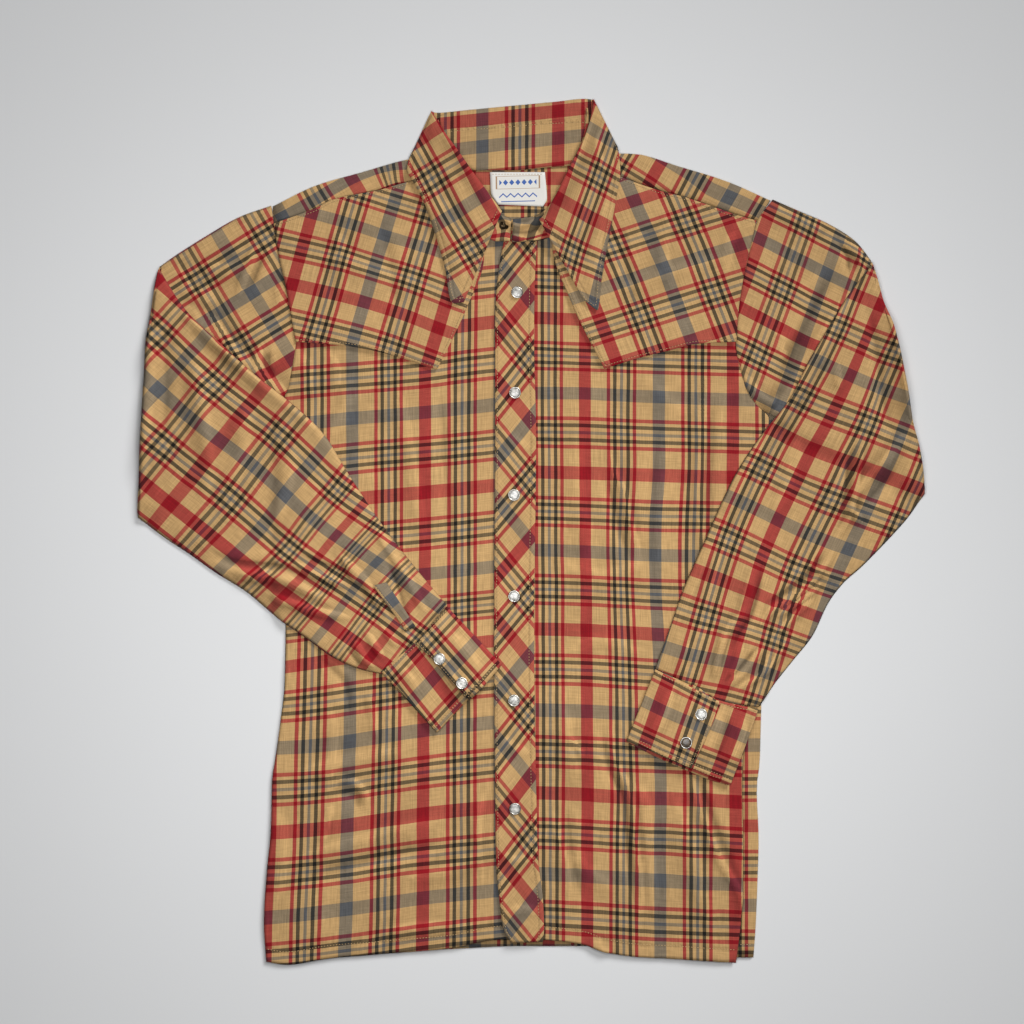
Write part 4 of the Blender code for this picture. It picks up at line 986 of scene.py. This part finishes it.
    def lay_cuffs(self):
        """Each cuff's three stretches, with a fold at each side of the wrist, and the slit's facing."""
        for side, stretches in ("right", CUFF_RIGHT), ("left", CUFF_LEFT):
            name = f"cuff_{side}"
            laid = {}
            for stretch in "under", "tucked", "over":
                plan = patch(stretches[stretch], self.cell, columns=CUFF_COLUMNS)
                sewn = {"low": EDGE_STITCH, "high": TOP_STITCH}
                if stretch == "over":
                    sewn["end"] = EDGE_STITCH
                sett = name + ("_over" if stretch == "over" else "")
                laid[stretch] = self.lay(name, plan, self.wrists, sett, sewn, swell=COLLAR_SWELL)
                self.wrists.next_course()
            self.keep(name, fold(laid["under"][::-1], laid["tucked"][::-1]), name)
            self.keep(name, fold(laid["under"], laid["over"]), f"{name}_over")
        facing = patch(SLIT_FACING, self.cell)
        self.lay("slit_facing", facing, sewn={"low": SMALL_STITCH}, swell=FACING_SWELL)
        self.pile.next_course()
        self.pile.top = np.maximum(self.pile.top, self.wrists.top)


@functools.lru_cache
def laid_shirt(cell):
    return Shirt(cell)


def world(point):
    x, y, z = point
    return (x - PLAN_ORIGIN[0]) * MM, (PLAN_ORIGIN[1] - y) * MM, z * MM


def finished(name, bm, look, nodes=(), wall=None):
    """Makes a piece of a bmesh: smooth, with its look, riding on the shirt's one body."""
    mesh = bpy.data.meshes.new(name)
    bm.to_mesh(mesh)
    bm.free()
    mesh.materials.append(look)
    mesh.shade_smooth()
    piece = bpy.data.objects.new(name, mesh)
    bpy.context.scene.collection.objects.link(piece)
    if wall:
        thickened = piece.modifiers.new("wall", "SOLIDIFY")
        thickened.thickness, thickened.offset = wall
    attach(piece, "root")
    if nodes:
        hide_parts(*nodes)
    return piece


def weld(bm):
    bmesh.ops.remove_doubles(bm, verts=bm.verts, dist=WELD)


def cloth_piece(name, sheets, look, wall):
    """One piece of cloth: its sheets welded where they meet, made into a wall."""
    bm = bmesh.new()
    cut = bm.loops.layers.uv.new("cut")
    hem = bm.verts.layers.float.new("hem")
    # The fold layer holds each point's depth in the hollows beside creases, for the plaid's painted shade and
    # painted light.
    fold = bm.verts.layers.float.new("fold")
    for sheet in sheets:
        rows, columns = sheet.points.shape[:2]
        made = bmesh.ops.create_grid(bm, x_segments=columns - 1, y_segments=rows - 1, size=1)
        places = sett_at(sheet.sett, sheet.places).reshape(-1, 2)
        values = sheet.points.reshape(-1, 3), places, sheet.hem.reshape(-1), sheet.fold.reshape(-1)
        for vertex, point, place, share, height in zip(made["verts"], *values):
            vertex.co = world(point)
            vertex[hem] = share
            vertex[fold] = height
            for loop in vertex.link_loops:
                loop[cut].uv = place
    weld(bm)
    bmesh.ops.recalc_face_normals(bm, faces=bm.faces)
    return finished(f"{name}_cloth", bm, look, [name], wall)


def surface_of(*names):
    """The finished surface of some cloth pieces, to lay small things on."""
    graph = bpy.context.evaluated_depsgraph_get()
    bm = bmesh.new()
    for name in names:
        bm.from_object(bpy.data.objects[f"{name}_cloth"], graph)
    tree = BVHTree.FromBMesh(bm)
    bm.free()
    return tree


def touch(tree, x, y):
    """The highest point of a surface over a plan point, with its normal."""
    place, normal, _, _ = tree.ray_cast(Vector(world((x, y, DROP_FROM))), Vector((0, 0, -1)))
    return place, normal


def seam_line(points, side, inset):
    """A line on the plan, this far inside one edge of a sheet."""
    edge, inner = {
        "start": (points[0], points[1]),
        "end": (points[-1], points[-2]),
        "low": (points[:, 0], points[:, 1]),
        "high": (points[:, -1], points[:, -2]),
    }[side]
    edge, inner = edge[:, :2], inner[:, :2]
    inward = inner - edge
    return edge + inward * (inset / np.linalg.norm(inward, axis=1))[:, None]


def sew(bm, tree, line, spacing):
    """A row of stitches along a line on the plan, each a small rounded bar pressed into the cloth."""
    at = np.r_[0, np.cumsum(np.linalg.norm(np.diff(line, axis=0), axis=1))]
    places = np.arange(spacing, at[-1] - spacing / 2, spacing)
    xs, ys = np.interp(places, at, line[:, 0]), np.interp(places, at, line[:, 1])
    for k, (x, y) in enumerate(zip(xs, ys)):
        here, normal = touch(tree, x, y)
        if here is None:
            continue
        last, following = max(k - 1, 0), min(k + 1, len(xs) - 1)
        ahead = Vector((xs[following] - xs[last], ys[last] - ys[following], 0))
        ahead = (ahead - normal * ahead.dot(normal)).normalized()
        side = normal.cross(ahead)
        turn = Matrix((ahead, side, normal)).transposed().to_4x4()
        size = Matrix.Diagonal((spacing * MM * STITCH_SHARE, THREAD * MM, THREAD * MM * THREAD_FLAT, 1))
        place = Matrix.Translation(here) @ turn @ size
        bmesh.ops.create_icosphere(bm, subdivisions=1, radius=1, matrix=place)


class Number:
    """A number that varies over a surface. Arithmetic on it adds Math nodes."""

    def __init__(self, look, socket):
        self.look, self.socket = look, socket

    def maths(self, operation, *values):
        inputs = dict(enumerate(values))
        return Number(self.look, self.look.node("ShaderNodeMath", {"operation": operation}, inputs))

    def __add__(self, other):
        return self.maths("ADD", self, other)

    def __sub__(self, other):
        return self.maths("SUBTRACT", self, other)

    def __rsub__(self, other):
        return self.maths("SUBTRACT", other, self)

    def __mul__(self, other):
        return self.maths("MULTIPLY", self, other)

    def __truediv__(self, other):
        return self.maths("DIVIDE", self, other)

    def __abs__(self):
        return self.maths("ABSOLUTE", self)

    def below(self, other):
        return self.maths("LESS_THAN", self, other)

    def share(self):
        return self.maths("FRACT", self)

    def sine(self):
        return self.maths("SINE", self)

    def most(self, other):
        return self.maths("MAXIMUM", self, other)

    def clamp(self, low, high):
        return self.maths("MINIMUM", self.most(low), high)

    def bell(self, middle, width):
        """1 at this value, falling softly to 0."""
        away = (self - middle) / width
        return away.maths("EXPONENT", away * away * -1)

    __radd__, __rmul__ = __add__, __mul__


class Look:
    """A Principled material whose nodes are added one call at a time."""

    def __init__(self, name, **fixed):
        self.material = bpy.data.materials.new(name)
        self.material.use_nodes = True
        self.tree = self.material.node_tree
        self.shader = self.tree.nodes["Principled BSDF"]
        for socket, value in fixed.items():
            self.shader.inputs[socket.replace("_", " ").title().replace("Ior", "IOR")].default_value = value

    def node(self, kind, settings=None, inputs=None, output=0):
        """Adds a node: its settings, then the values or links of its sockets. Returns one output."""
        made = self.tree.nodes.new(kind)
        for name, value in (settings or {}).items():
            if name == "stops":
                stops = made.color_ramp.elements
                stops.remove(stops[1])
                stops[0].color = (*value[0][1], 1)
                for place, colour in value[1:]:
                    stops.new(place).color = (*colour, 1)
                made.color_ramp.interpolation = "CONSTANT"
            else:
                setattr(made, name, value)
        for name, value in (inputs or {}).items():
            self.link(value, made.inputs[name])
        return made.outputs[output]

    def link(self, value, socket):
        value = getattr(value, "socket", value)
        if isinstance(value, bpy.types.NodeSocket):
            self.tree.links.new(value, socket)
        else:
            socket.default_value = value

    def parts(self, vector):
        """A vector's x, y and z as numbers."""
        return [Number(self, self.node("ShaderNodeSeparateXYZ", None, {0: vector}, k)) for k in range(3)]

    def vector(self, x, y, z=0.0):
        return self.node("ShaderNodeCombineXYZ", None, {0: x, 1: y, 2: z})

    def place(self):
        """The place on the object, in metres."""
        return self.node("ShaderNodeTexCoord", None, None, 3)

    def cut(self):
        """The place in the cut cloth, across and along, in metres."""
        return self.parts(self.node("ShaderNodeUVMap", {"uv_map": "cut"}))[:2]

    def grain(self, place, scale, detail=2.0):
        """A noise from 0 to 1 about 0.5."""
        inputs = {"Vector": place, "Scale": scale, "Detail": detail}
        return Number(self, self.node("ShaderNodeTexNoise", None, inputs))

    def mixed(self, share, first, second, blend="MIX"):
        settings = {"data_type": "RGBA", "blend_type": blend}
        return self.node("ShaderNodeMix", settings, {0: share, 6: first, 7: second}, 2)

    def finish(self, colour, height=None, depth=1.0, **more):
        """Links the colour, a relief in millimetres, and any other socket that varies."""
        self.link(colour, self.shader.inputs["Base Color"])
        if height is not None:
            bump = {"Height": height, "Distance": MM * depth, "Strength": 1.0}
            self.link(self.node("ShaderNodeBump", None, bump), self.shader.inputs["Normal"])
        for socket, value in more.items():
            self.link(value, self.shader.inputs[socket.replace("_", " ").title()])
        return self.material


def tint(colour, factor=1.0):
    return (*(min(1, c * factor) for c in colour), 1)


def powered(colour):
    return tuple(c**MIX_POWER for c in colour)


def sett_stops(cloth):
    """The sett over two counts, from the middle of one red band to the next, as ramp stops."""
    tan, red, slate, dark = (powered(yarn) for yarn in (cloth.tan, cloth.red, cloth.slate, cloth.dark))
    bands = [(0, BROAD, red), (1, BROAD, slate), (2, BROAD, red)]
    for middle in (0.5, 1.5):
        bands += [(middle, FINE, slate)]
        for side in (-1, 1):
            bands += [(middle + side * INNER_LINE, FINE, dark), (middle + side * OUTER_LINE, FINE, red)]
    stops = []
    for middle, half, yarn in sorted(bands):
        stops += [(max(middle - half, 0) / 2, yarn), ((middle + half) / 2, tan)]
    return [stop for stop in stops if stop[0] < 1]


def plaid_look(cloth):
    """Warp and weft in the sett's colours, with slubs, worn edges, puckered seams, and painted shade in the
    creases' hollows with painted light on their crests.
    """
    sheen = {"sheen_weight": 0.05, "sheen_roughness": 0.5}
    look = Look("yarn_dyed_plaid", roughness=0.9, specular_ior_level=0.2, **sheen)
    across, along = look.cut()
    stops = sett_stops(cloth)
    wander = look.grain(look.vector(across, along), WANDER) - 0.5
    yarns = []
    for place, other, step in (across, along, WARP_STEP), (along, across, WEFT_STEP):
        at = ((place + wander * YARN_WANDER) / (2 * step)).share()
        colour = look.node("ShaderNodeValToRGB", {"stops": stops}, {0: at})
        single = look.grain(look.vector(place * THREADS, other * SLUBS), 1.0, 1.0)
        shade = (single - 0.5) * (2 * MIX_POWER * cloth.nap) + 1
        yarns.append(look.node("ShaderNodeVectorMath", {"operation": "SCALE"}, {0: colour, 3: shade}))
    wave = (across * THREAD_WAVE).sine() * (along * THREAD_WAVE).sine()
    woven = look.mixed(wave * WEAVE_SHARE + WEFT_SHARE, *yarns)
    hem, fold = (
        Number(look, look.node("ShaderNodeAttribute", {"attribute_name": name}, None, 2))
        for name in ("hem", "fold")
    )
    # Painted shade in the hollows beside creases and painted light on their crests, from the fold layer; this
    # is no wear of the cloth.
    worn = (fold * PAINTED_HOLLOW_SHADE).clamp(PAINTED_SHADE_MOST, PAINTED_LIGHT_MOST)
    mottle = look.grain(look.vector(across, along), MOTTLE, 4.0)
    seam, edge = hem.bell(1.0, SEAM_SHADE_WIDTH), hem.bell(0.0, EDGE_WIDTH)
    shade = (mottle - 0.5) * MOTTLE_SHADE + 1 + worn - seam * SEAM_SHADE + edge * EDGE_SHADE
    seen = look.node("ShaderNodeVectorMath", {"operation": "SCALE"}, {0: woven, 3: shade})
    colour = look.node("ShaderNodeGamma", None, {0: seen, 1: 2.2 / MIX_POWER})
    pucker = look.grain(look.vector(across, along), PUCKER, 1.0) - 0.5
    fibre = look.grain(look.vector(across * FIBRES, along * FIBRE_LENGTHS), 1.0, 1.0) - 0.5
    height = (
        wave * WEAVE_RELIEF
        + fibre * FIBRE_RELIEF
        + (mottle - 0.5) * MOTTLE_RELIEF
        + (look.grain(look.vector(across, along), RUFFLE, 3.0) - 0.5) * RUFFLE_RELIEF
        - hem.bell(1.0, SEAM_WIDTH) * (pucker * SEAM_PUCKER + SEAM_DEPTH)
        + hem.below(1.0) * HEM_RELIEF
    )
    return look.finish(colour, height)


def turned(bm, section, radius, place, normal):
    """A turned shape standing on a place along a normal, from half its section."""
    turn = Matrix.Translation(place) @ normal.to_track_quat("Z", "Y").to_matrix().to_4x4()
    points = [bm.verts.new(turn @ Vector((radius * r * MM, 0, z * MM))) for r, z in section]
    edges = [bm.edges.new(pair) for pair in zip(points, points[1:])]
    bmesh.ops.spin(
        bm, geom=points + edges, cent=place, axis=normal, angle=2 * np.pi, steps=SNAP_STEPS, use_merge=True
    )


def pearl_look(name, colour, coat):
    """Clouded pearl: pale patches with sharp edges in a darker ground."""
    look = Look(name, roughness=0.3, coat_weight=coat, coat_roughness=0.08)
    place = look.place()
    swirl = look.grain(place, SWIRL, 2.0)
    cloud = ((look.grain(place, CLOUD, 3.0) - CLOUD_EDGE) * CLOUD_CONTRAST).clamp(0.0, 1.0)
    shade = look.mixed(cloud, *(tint(colour, factor) for factor in PEARL_TINTS))
    return look.finish(shade, (swirl - 0.5) * PEARL_RELIEF)


def metal_look(name, colour):
    """Bright metal with duller, rougher patches of tarnish."""
    look = Look(name, metallic=1.0, roughness=0.28)
    tarnish = look.grain(look.place(), TARNISH, 3.0)
    shade = look.mixed(tarnish, tint(colour, TARNISH_TINT), tint(colour))
    rough = tarnish * TARNISH_ROUGH + METAL_ROUGH
    return look.finish(shade, (tarnish - 0.5) * TARNISH_RELIEF, roughness=rough)


def thread_look(colour):
    """Matte thread, worn paler in places, with a fine twist."""
    look = Look("sewing_thread", roughness=0.7)
    place = look.place()
    shade = look.mixed(look.grain(place, WEAR), *(tint(colour, factor) for factor in THREAD_TINTS))
    return look.finish(shade, (look.grain(place, TWIST) - 0.5) * TWIST_RELIEF)


def label_look(trim):
    """A woven label: a thin frame round a row of lozenges, over a zigzag line and a straight one."""
    look = Look("label_weave", roughness=0.6, sheen_weight=0.1)
    x, y = look.cut()
    frame_x, frame_y = abs(x) / FRAME_HALF[0], abs(y - FRAME_MIDDLE) / FRAME_HALF[1]
    outline = abs(frame_x.most(frame_y) - 1.0).below(FRAME_LINE)
    cell = (x / LOZENGE + 0.5).share() - 0.5
    lozenge = (abs(cell) * LOZENGE_LEAN + abs(y - FRAME_MIDDLE) / LOZENGE).below(LOZENGE_SIZE)
    lozenge = lozenge * abs(x).below(3 * LOZENGE)
    slant = abs((x / ZIGZAG).share() - 0.5) * ZIGZAG_SLOPE
    zigzag = (abs(y + ZIGZAG_AT - slant) / MM).below(ZIGZAG_LINE) * abs(x).below(ZIGZAG_END)
    line = (abs(y + LINE_AT) / LINE_HALF).below(1.0) * abs(x).below(LINE_END)
    weave = look.grain(look.vector(x * LABEL_YARNS[0], y * LABEL_YARNS[1]), 1.0, 1.0)
    ground = look.mixed(weave * LABEL_SHADE, tint(trim.linen), tint(trim.linen, LABEL_TINT))
    framed = look.mixed(outline, ground, FRAME_YARN)
    figures = lozenge.most(zigzag).most(line)
    return look.finish(look.mixed(figures, framed, tint(trim.blue)), weave * LABEL_RELIEF)


def floor_look(colour):
    """Matte paper, faintly clouded."""
    look = Look("paper_floor", roughness=0.9)
    place = look.place()
    shade = look.mixed(look.grain(place, PAPER_CLOUD, 3.0), tint(colour, PAPER_TINT), tint(colour))
    return look.finish(shade, (look.grain(place, PAPER_FIBRE, 2.0) - 0.5) * PAPER_RELIEF)


def only(name):
    """The one material of this name, made on first use."""
    cloth, trim = bpy.context.scene.shirt_cloth, bpy.context.scene.shirt_trim
    makers = {
        "yarn_dyed_plaid": lambda: plaid_look(cloth),
        "label_weave": lambda: label_look(trim),
        "pearl_cap": lambda: pearl_look("pearl_cap", trim.pearl, PEARL_COAT),
        "smoky_cap": lambda: pearl_look("smoky_cap", trim.smoke, SMOKY_COAT),
        "snap_metal": lambda: metal_look("snap_metal", trim.ring),
        "socket_metal": lambda: metal_look("socket_metal", trim.socket),
        "sewing_thread": lambda: thread_look(trim.thread),
        "paper_floor": lambda: floor_look(bpy.context.scene.shirt_stage.floor),
    }
    return bpy.data.materials.get(name) or makers[name]()


def laid():
    return laid_shirt(bpy.context.scene.shirt_cloth.cell / MM)


def make_cloth(name):
    """One cloth piece with its place in the cut cloth."""
    wall, offset, look, slot = bpy.context.scene.shirt_cloth.wall, 0, "yarn_dyed_plaid", "plaid_cotton"
    if name in STIFF:
        wall = STIFF_WALL
    elif name.startswith("sleeve"):
        offset = -1
    elif name == "label":
        wall, look, slot = LABEL_THICKNESS * MM, "label_weave", "woven_label"
    piece = cloth_piece(name, laid().sheets[name], only(look), (wall, offset))


class ClothOperator(bpy.types.Operator):
    """Makes some of the shirt's cloth pieces"""

    bl_idname = "shirt.cloth"
    bl_label = "Cloth"
    pieces = ()

    def execute(self, context):
        for name in self.pieces:
            make_cloth(name)
        return {"FINISHED"}


class SHIRT_OT_back(ClothOperator):
    """Lays the back and its yoke, with the edges that come round onto the fronts"""

    bl_idname = "shirt.back"
    bl_label = "Back"
    pieces = ("back", "back_yoke")


class SHIRT_OT_fronts(ClothOperator):
    """Lays the two fronts, their yokes and the placket cut on the bias"""

    bl_idname = "shirt.fronts"
    bl_label = "Fronts"
    pieces = ("front_right", "front_left", "yoke_right", "yoke_left", "placket")


class SHIRT_OT_label(ClothOperator):
    """Lays the woven label inside the yoke"""

    bl_idname = "shirt.label"
    bl_label = "Label"
    pieces = ("label",)


class SHIRT_OT_collar(ClothOperator):
    """Lays the neckband and the collar leaf folded over it"""

    bl_idname = "shirt.collar"
    bl_label = "Collar"
    pieces = ("neckband", "collar")


class SHIRT_OT_sleeves(ClothOperator):
    """Lays the two sleeves, each a flattened tube folded back at the elbow"""

    bl_idname = "shirt.sleeves"
    bl_label = "Sleeves"
    pieces = ("sleeve_right", "sleeve_left")


class SHIRT_OT_cuffs(ClothOperator):
    """Lays the two cuffs, wrapped and snapped, and the facing of one sleeve's slit"""

    bl_idname = "shirt.cuffs"
    bl_label = "Cuffs"
    pieces = ("cuff_right", "cuff_left", "slit_facing")


class SHIRT_OT_stitches(bpy.types.Operator):
    """Sews the visible rows of stitches"""

    bl_idname = "shirt.stitches"
    bl_label = "Stitches"

    def execute(self, context):
        spacing = context.scene.shirt_trim.stitch / MM
        for name, sheets in laid().sheets.items():
            rows = [
                seam_line(sheet.points, side, distance)
                for sheet in sheets
                for side, distance in sheet.sewn.items()
            ]
            if not rows:
                continue
            tree = surface_of(name)
            bm = bmesh.new()
            for line in rows:
                sew(bm, tree, line, spacing)
            finished(f"{name}_stitches", bm, only("sewing_thread"))
        return {"FINISHED"}


class SHIRT_OT_snaps(bpy.types.Operator):
    """Presses the snaps into the placket, the cuffs and the neckband"""

    bl_idname = "shirt.snaps"
    bl_label = "Snaps"

    def execute(self, context):
        rings = bmesh.new()
        for row, places in SNAPS.items():
            tree = surface_of(row)
            for number, at in enumerate(places, 1):
                place, normal = touch(tree, *at)
                turned(rings, RING, SNAP_RADIUS, place, normal)
                bm = bmesh.new()
                turned(bm, CAP, SNAP_RADIUS, place, normal)
                weld(bm)
                bmesh.ops.recalc_face_normals(bm, faces=bm.faces)
                look = only("smoky_cap" if (row, number) == SMOKY_SNAP else "pearl_cap")
                finished(f"cap_{row}_{number}", bm, look, [f"snap_{row}_{number}"])
        place, normal = touch(surface_of("neckband", "placket", "front_right"), *SOCKET_AT)
        bm = bmesh.new()
        turned(bm, SOCKET, SOCKET_RADIUS, place, normal)
        weld(bm)
        finished("socket", bm, only("socket_metal"), ["socket_neckband"])
        weld(rings)
        finished("snap_rings", rings, only("snap_metal"))
        return {"FINISHED"}


class SHIRT_OT_stage(bpy.types.Operator):
    """Puts down the paper floor and sets the lights and the camera"""

    bl_idname = "shirt.stage"
    bl_label = "Stage"

    def execute(self, context):
        stage = context.scene.shirt_stage
        bm = bmesh.new()
        bmesh.ops.create_grid(bm, x_segments=1, y_segments=1, size=FLOOR_HALF)
        bmesh.ops.translate(bm, verts=bm.verts, vec=(0, 0, -FLOOR_DROP))
        mesh = bpy.data.meshes.new("paper_floor")
        bm.to_mesh(mesh)
        bm.free()
        mesh.materials.append(only("paper_floor"))
        floor = bpy.data.objects.new("paper_floor", mesh)
        context.scene.collection.objects.link(floor)
        key = bpy.data.lights.new("key", "SUN")
        key.energy, key.angle = stage.key, KEY_SPREAD
        top = bpy.data.lights.new("top", "AREA")
        top.energy, top.shape, top.size = stage.top, "DISK", TOP_SIZE
        for lamp, place in (key, KEY_FROM), (top, TOP_PLACE):
            light = bpy.data.objects.new(lamp.name, lamp)
            light.location = place
            light.rotation_euler = (-Vector(place)).to_track_quat("-Z", "Y").to_euler()
            context.scene.collection.objects.link(light)
        studio = bpy.data.worlds.new("studio")
        studio.use_nodes = True
        background = studio.node_tree.nodes["Background"].inputs
        background["Color"].default_value, background["Strength"].default_value = (*SKY, 1), stage.fill
        context.scene.world = studio
        context.scene.view_settings.view_transform = "Standard"
        camera = bpy.data.cameras.new("camera")
        camera.lens = camera.sensor_width * (stage.height - MIDDLE_HEIGHT) / VIEW_WIDTH
        seen = bpy.data.objects.new("camera", camera)
        seen.location = (*VIEW_CENTRE, stage.height)
        context.scene.collection.objects.link(seen)
        context.scene.camera = seen
        return {"FINISHED"}


OPERATORS = (
    SHIRT_OT_back,
    SHIRT_OT_fronts,
    SHIRT_OT_label,
    SHIRT_OT_collar,
    SHIRT_OT_sleeves,
    SHIRT_OT_cuffs,
    SHIRT_OT_stitches,
    SHIRT_OT_snaps,
    SHIRT_OT_stage,
)


class SHIRT_PT_panel(bpy.types.Panel):
    """Lists the shirt's settings and the operators that make its pieces"""

    bl_idname = "SHIRT_PT_panel"
    bl_label = "Western Snap Shirt"
    bl_space_type = "VIEW_3D"
    bl_region_type = "UI"
    bl_category = "Shirt"

    def draw(self, context):
        for group in (context.scene.shirt_cloth, context.scene.shirt_trim, context.scene.shirt_stage):
            for name in group.bl_rna.properties.keys():
                if name not in ("rna_type", "name"):
                    self.layout.prop(group, name)
        for operator in OPERATORS:
            self.layout.operator(operator.bl_idname)


GROUPS = {"shirt_cloth": ShirtCloth, "shirt_trim": ShirtTrim, "shirt_stage": ShirtStage}


def register():
    for group in GROUPS.values():
        bpy.utils.register_class(group)
    for name, group in GROUPS.items():
        setattr(bpy.types.Scene, name, PointerProperty(type=group))
    for operator in (*OPERATORS, SHIRT_PT_panel):
        bpy.utils.register_class(operator)


def unregister():
    for operator in (SHIRT_PT_panel, *reversed(OPERATORS)):
        bpy.utils.unregister_class(operator)
    for name, group in GROUPS.items():
        delattr(bpy.types.Scene, name)
        bpy.utils.unregister_class(group)


def main():
    register()
    for operator in OPERATORS:
        getattr(bpy.ops.shirt, operator.bl_idname.split(".")[1])()


if __name__ == "__main__":
    main()
